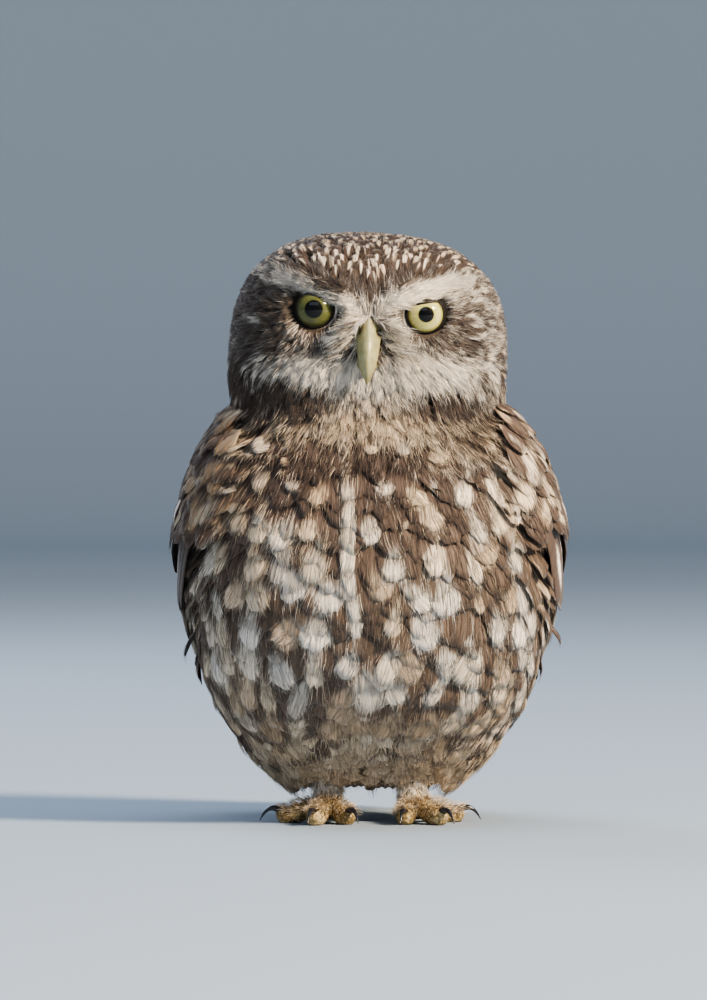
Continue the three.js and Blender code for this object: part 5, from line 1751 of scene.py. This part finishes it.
def toeForm(r):
    # shares of a toe's length, and the height and radius of its midline at each
    return ([0, 0.3, 0.6, 0.85, 1, 1.12], [4.4, r + 1.5, r + 0.5, r - 0.5, r - 0.1, r + 0.5],
            [3.3, r + 0.2, r, r, r * 0.85, r * 0.35])


def toeSkinMaterial():
    # toe skin: dry, pebbled and scaled, buff brown with paler pads, and darker in the creases, which is
    # painted shade
    material, tree, shader = newMaterial("pebbled toe skin", {"Roughness": 0.72, "IOR": 1.45})
    where = addNode(tree, "TexCoord")
    pebble = addNode(tree, "TexVoronoi", {"Scale": 1150.0}, {"Vector": where.outputs["Object"]})
    cloud = addNode(tree, "TexNoise", {"Scale": 260.0, "Detail": 4.0}, {"Vector": where.outputs["Object"]})
    # darker far from a pebble's middle, in the creases: painted shade
    tone = addNode(tree, "Math", {"operation": "MULTIPLY_ADD", 1: -0.7},
                   {0: pebble.outputs["Distance"], 2: cloud.outputs["Fac"]})
    ramp = addNode(tree, "ValToRGB", links={"Fac": tone.outputs[0]})
    setStops(ramp, [(0.02, "#75633f"), (0.2, "#a8926a"), (0.42, "#c9b48b"), (0.7, "#e4d5b2")])
    tree.links.new(ramp.outputs["Color"], shader.inputs["Base Color"])
    turned = addNode(tree, "Math", {"operation": "SUBTRACT", 0: 1.0}, {1: pebble.outputs["Distance"]})
    relief = addNode(tree, "Bump", {"Strength": 0.8, "Distance": 0.0003}, {"Height": turned.outputs[0]})
    tree.links.new(relief.outputs["Normal"], shader.inputs["Normal"])
    return material


def toeTube(side, toe):
    # rings along a toe with low scutes across its top and pads under it, cut off level at the floor
    shares, heights, radii = toeForm(toe["radius"])
    rows = smoothThrough(np.column_stack([toePoints(side, toe, shares, heights), radii]), 60)
    t = np.linspace(0, 1, 60)[:, None]
    turn = np.linspace(0, 2 * math.pi, 28, endpoint=False)
    scutes = 0.05 * np.abs(np.sin(t * 34)) * np.maximum(np.sin(turn), 0)
    pads = 0.1 * np.sin(t * 3 * math.pi + 0.4) ** 2 * np.maximum(-np.sin(turn), 0)
    rings = sweepRings(rows[:, :3], rows[:, 3:4] * (1 + scutes + pads))
    rings[..., 2] = np.maximum(rings[..., 2], 0.02)
    return rings


def makeFeet():
    # shanks and toes as closed tubes, fused into one skin by fine voxels
    parts, nodes = [], []
    for label, side in (("right", -1), ("left", 1)):
        levels = np.array(shankLevels)
        rows = smoothThrough(np.column_stack([shankMiddle(side, levels[:, 0]), levels[:, 1]]), 40)
        shank = sweepRings(rows[:, :3], rows[:, 3:4] * np.ones(28))
        for rings in [shank] + [toeTube(side, toe) for toe in toes.values()]:
            parts.append(meshPart(*closedTube(rings)))
        nodes += ["foot_" + label, "leg_" + label]
    piece = makePiece("feet", parts, toeSkinMaterial(), nodes)
    fused = piece.modifiers.new("fused", "REMESH")
    fused.mode = "VOXEL"
    fused.voxel_size = fusedVoxel
    fused.use_smooth_shade = True


makeFeet()


def clawMaterial():
    # claw horn: polished blue-black keratin, clouded a little paler
    material, tree, shader = newMaterial("claw horn", {"Roughness": 0.22, "IOR": 1.55})
    where = addNode(tree, "TexCoord")
    cloud = addNode(tree, "TexNoise", {"Scale": 500.0, "Detail": 3.0}, {"Vector": where.outputs["Object"]})
    ramp = addNode(tree, "ValToRGB", links={"Fac": cloud.outputs["Fac"]})
    setStops(ramp, [(0.3, "#15171c"), (0.75, "#34363e")])
    tree.links.new(ramp.outputs["Color"], shader.inputs["Base Color"])
    return material


def makeClaws():
    # tapering rings along an arch from each toe's end to near the floor, with a groove underneath
    parts, nodes = [], []
    t = np.linspace(0, 1, 26)
    turn = np.linspace(0, 2 * math.pi, 18, endpoint=False)
    groove = 1 - 0.16 * np.exp(-(((turn - 1.5 * math.pi) / 0.4) ** 2))
    for label, side in (("right", -1), ("left", 1)):
        for name, toe in toes.items():
            rootHeight = toe["radius"] + 0.7
            reach = toe["claw"] * 0.95 * t * (1 - 0.22 * t) - 0.5
            height = rootHeight + 1.35 * np.sin(math.pi * t) - (rootHeight - 0.75) * t**2.2
            points = toePoints(side, toe, np.ones(26), height) + np.outer(reach, toeWay(side, toe))
            rings = sweepRings(points, lerp(1.4, 0.12, t**0.85)[:, None] * groove)
            parts.append(meshPart(*closedTube(rings)))
            nodes.append(f"claw_{label}_{name}")
    makePiece("claws", parts, clawMaterial(), nodes)


makeClaws()


# Feathered shanks and bristled toes
featherKinds["shank"] = {**featherKinds["face"], "length": 4.6, "width": 2.6, "depth": 0.3, "lift": 0.35,
                         "hairs": 9, "hair": 0.2, "fray": 0.3}
featherKinds["toe"] = {**featherKinds["face"], "columns": 0, "length": 3.0, "width": 1.2, "depth": 0.1,
                       "lift": 0.3, "hairs": 3, "hair": 0.16, "fray": 0.5, "splay": 0.5}


def plainMarks(pale, dark, level):
    # feathers without a pattern, of one pale and one dark tone
    def marksOf(roots, rng):
        n = len(roots)
        ground = level + 0.35 * rng.standard_normal((n, 1, 1))
        paleTones = eachRoot(varied(np.tile(pale, (n, 1)), rng, 0.07))
        darkTones = eachRoot(varied(np.tile(dark, (n, 1)), rng, 0.1))
        return lambda a, share, p: (ground, paleTones, darkTones)
    return marksOf


def makeShanks():
    # rings of short feathers down the shanks, and rows of bristles along the tops of the toes
    rng = np.random.default_rng(91)
    up = np.array([0, 0, 1.0])
    roots, normals, lies = [], [], []
    for side in (-1, 1):
        for z in np.arange(7.5, 30, 1.7):
            turn = ringTurns(rng, 16)
            n = np.stack([np.cos(turn), np.sin(turn), 0 * turn], -1)
            radius = np.interp(z, [5, 9, 15, 22, 31], [3.7, 3.5, 4.0, 5.1, 6.2])
            roots.append(shankMiddle(side, z) + n * radius + np.outer(rng.uniform(-0.6, 0.6, 16), up))
            normals.append(n)
            lies.append(n * 0.08 - up)
    roots, normals, lies = np.concatenate(roots), np.concatenate(normals), unit(np.concatenate(lies))
    marks = plainMarks(mixTone(tones["white"], tones["cream"], 0.5), tones["buff"], 0.8)
    shanks = featherMesh(roots, normals, lies, featherKinds["shank"], 92, marks, surface=None)
    roots, normals, lies = [], [], []
    for side in (-1, 1):
        for toe in toes.values():
            shares, heights, radii = toeForm(toe["radius"])
            way = toeWay(side, toe)
            for share in np.linspace(0.12, 0.95, 17):
                turn = math.pi / 2 + rng.uniform(-1.35, 1.35, 9)
                n = np.outer(np.cos(turn), np.cross(way, up)) + np.outer(np.sin(turn), up)
                z = np.interp(share, shares, heights)
                middle = toePoints(side, toe, [share + rng.uniform(-0.02, 0.02)], [z])[0]
                roots.append(middle + n * np.interp(share, shares, radii))
                normals.append(n)
                lies.append(way + n * 0.2)
    roots, normals, lies = np.concatenate(roots), np.concatenate(normals), unit(np.concatenate(lies))
    marks = plainMarks(mixTone(tones["cream"], tones["buff"], 0.3), tones["warm"], 0.5)
    bristles = featherMesh(roots, normals, lies, featherKinds["toe"], 93, marks, surface=None)
    for part in (shanks, bristles):
        part["places"][:, 2] = np.maximum(part["places"][:, 2], 0.05)
    coatPiece("coat_legs", [shanks, bristles])


makeShanks()
print("bird complete")

# Camera and light
camera = {"lens": 300, "distance": 2417, "aimX": -4.8, "aimZ": 93.4, "elevation": math.radians(1.2)}


def setCamera():
    # a long lens level with the breast, looking very slightly down
    data = bpy.data.cameras.new("camera")
    data.lens, data.sensor_width, data.sensor_fit = camera["lens"], 36, "AUTO"
    data.clip_start, data.clip_end = 0.1, 20
    made = bpy.data.objects.new("camera", data)
    bpy.context.scene.collection.objects.link(made)
    aim = Vector((camera["aimX"], shift[1], camera["aimZ"])) * 0.001
    back = Vector((0, -math.cos(camera["elevation"]), math.sin(camera["elevation"])))
    made.location = aim + back * camera["distance"] * 0.001
    made.rotation_mode = "QUATERNION"
    made.rotation_quaternion = (-back).to_track_quat("-Z", "Y")
    bpy.context.scene.camera = made


def addLight(name, place, aim, size, watts, colour, tall=None):
    # an area light turned to its aim: a disk, or a rectangle where it has its own height
    data = bpy.data.lights.new(name, "AREA")
    data.shape, data.size, data.energy = "DISK", size, watts
    if tall:
        data.shape, data.size_y = "RECTANGLE", tall
    data.color = tuple(linear(colour))
    made = bpy.data.objects.new(name, data)
    bpy.context.scene.collection.objects.link(made)
    made.location = place
    made.rotation_mode = "QUATERNION"
    made.rotation_quaternion = (Vector(aim) - Vector(place)).to_track_quat("-Z", "Y")


setCamera()
addLight("key", (1.6, -1.2, 1.25), (0, 0, 0.1), 0.5, 102, "#ffebd0")
addLight("panel", (-0.25, -1.5, 0.95), (0, 0, 0.15), 1.4, 3, "#d5e2ff", 0.5)
addLight("rim", (-0.6, 1.1, 1.0), (0, 0, 0.1), 0.8, 7, "#eef3ff")
addLight("overhead", (0, 0, 3.2), (0, 0, 0), 3.0, 42, "#e9f0fb")

world = bpy.data.worlds.new("studio")
world.use_nodes = True
world.node_tree.nodes["Background"].inputs["Color"].default_value = (*linear("#c9d3df"), 1)
world.node_tree.nodes["Background"].inputs["Strength"].default_value = 0.22
bpy.context.scene.world = world

bpy.context.scene.view_settings.view_transform = "AgX"
bpy.context.scene.view_settings.look = "AgX - Medium High Contrast"
bpy.context.scene.view_settings.exposure = 0.25

# Floor: a pale seamless sweep that curves up all round, so that it also backs the views from other sides
sweep = {"flat": 3.0, "radius": 0.9, "height": 1.1, "around": 96}


def makeFloor():
    # rings out from the middle, flat and then up a quarter circle, closed by a fan
    turn = np.linspace(0, math.pi / 2, 24)
    r = np.concatenate([[0.4, 1.2, 2.0, 2.6], sweep["flat"] + sweep["radius"] * np.sin(turn),
                        [sweep["flat"] + sweep["radius"]]])
    z = np.concatenate([[0, 0, 0, 0], sweep["radius"] * (1 - np.cos(turn)), [sweep["height"]]])
    around = np.linspace(0, 2 * math.pi, sweep["around"], endpoint=False)
    places = np.stack([r[:, None] * np.cos(around), r[:, None] * np.sin(around), z[:, None] + 0 * around], -1)
    places = np.concatenate([places.reshape(-1, 3), [[0, 0, 0]]])
    j = np.arange(sweep["around"])
    middle = np.stack([np.full(len(j), len(places) - 1), j, (j + 1) % len(j)], -1)
    triangles = np.concatenate([gridFaces(len(r), sweep["around"])[:, ::-1], middle])
    material, tree, shader = newMaterial("pale seamless paper", {"Roughness": 0.9, "IOR": 1.45})
    where = addNode(tree, "TexCoord")
    grain = addNode(tree, "TexNoise", {"Scale": 900.0, "Detail": 3.0}, {"Vector": where.outputs["Object"]})
    ramp = addNode(tree, "MapRange", {"To Min": 0.97, "To Max": 1.0}, {"Value": grain.outputs["Fac"]})
    colour = addNode(tree, "VectorMath", {"operation": "SCALE", 0: tuple(linear("#a2b2c3"))},
                     {"Scale": ramp.outputs["Result"]})
    tree.links.new(colour.outputs[0], shader.inputs["Base Color"])
    makePiece("floor", [meshPart(places * 1000 - shift, triangles)], material, staged=True)


makeFloor()
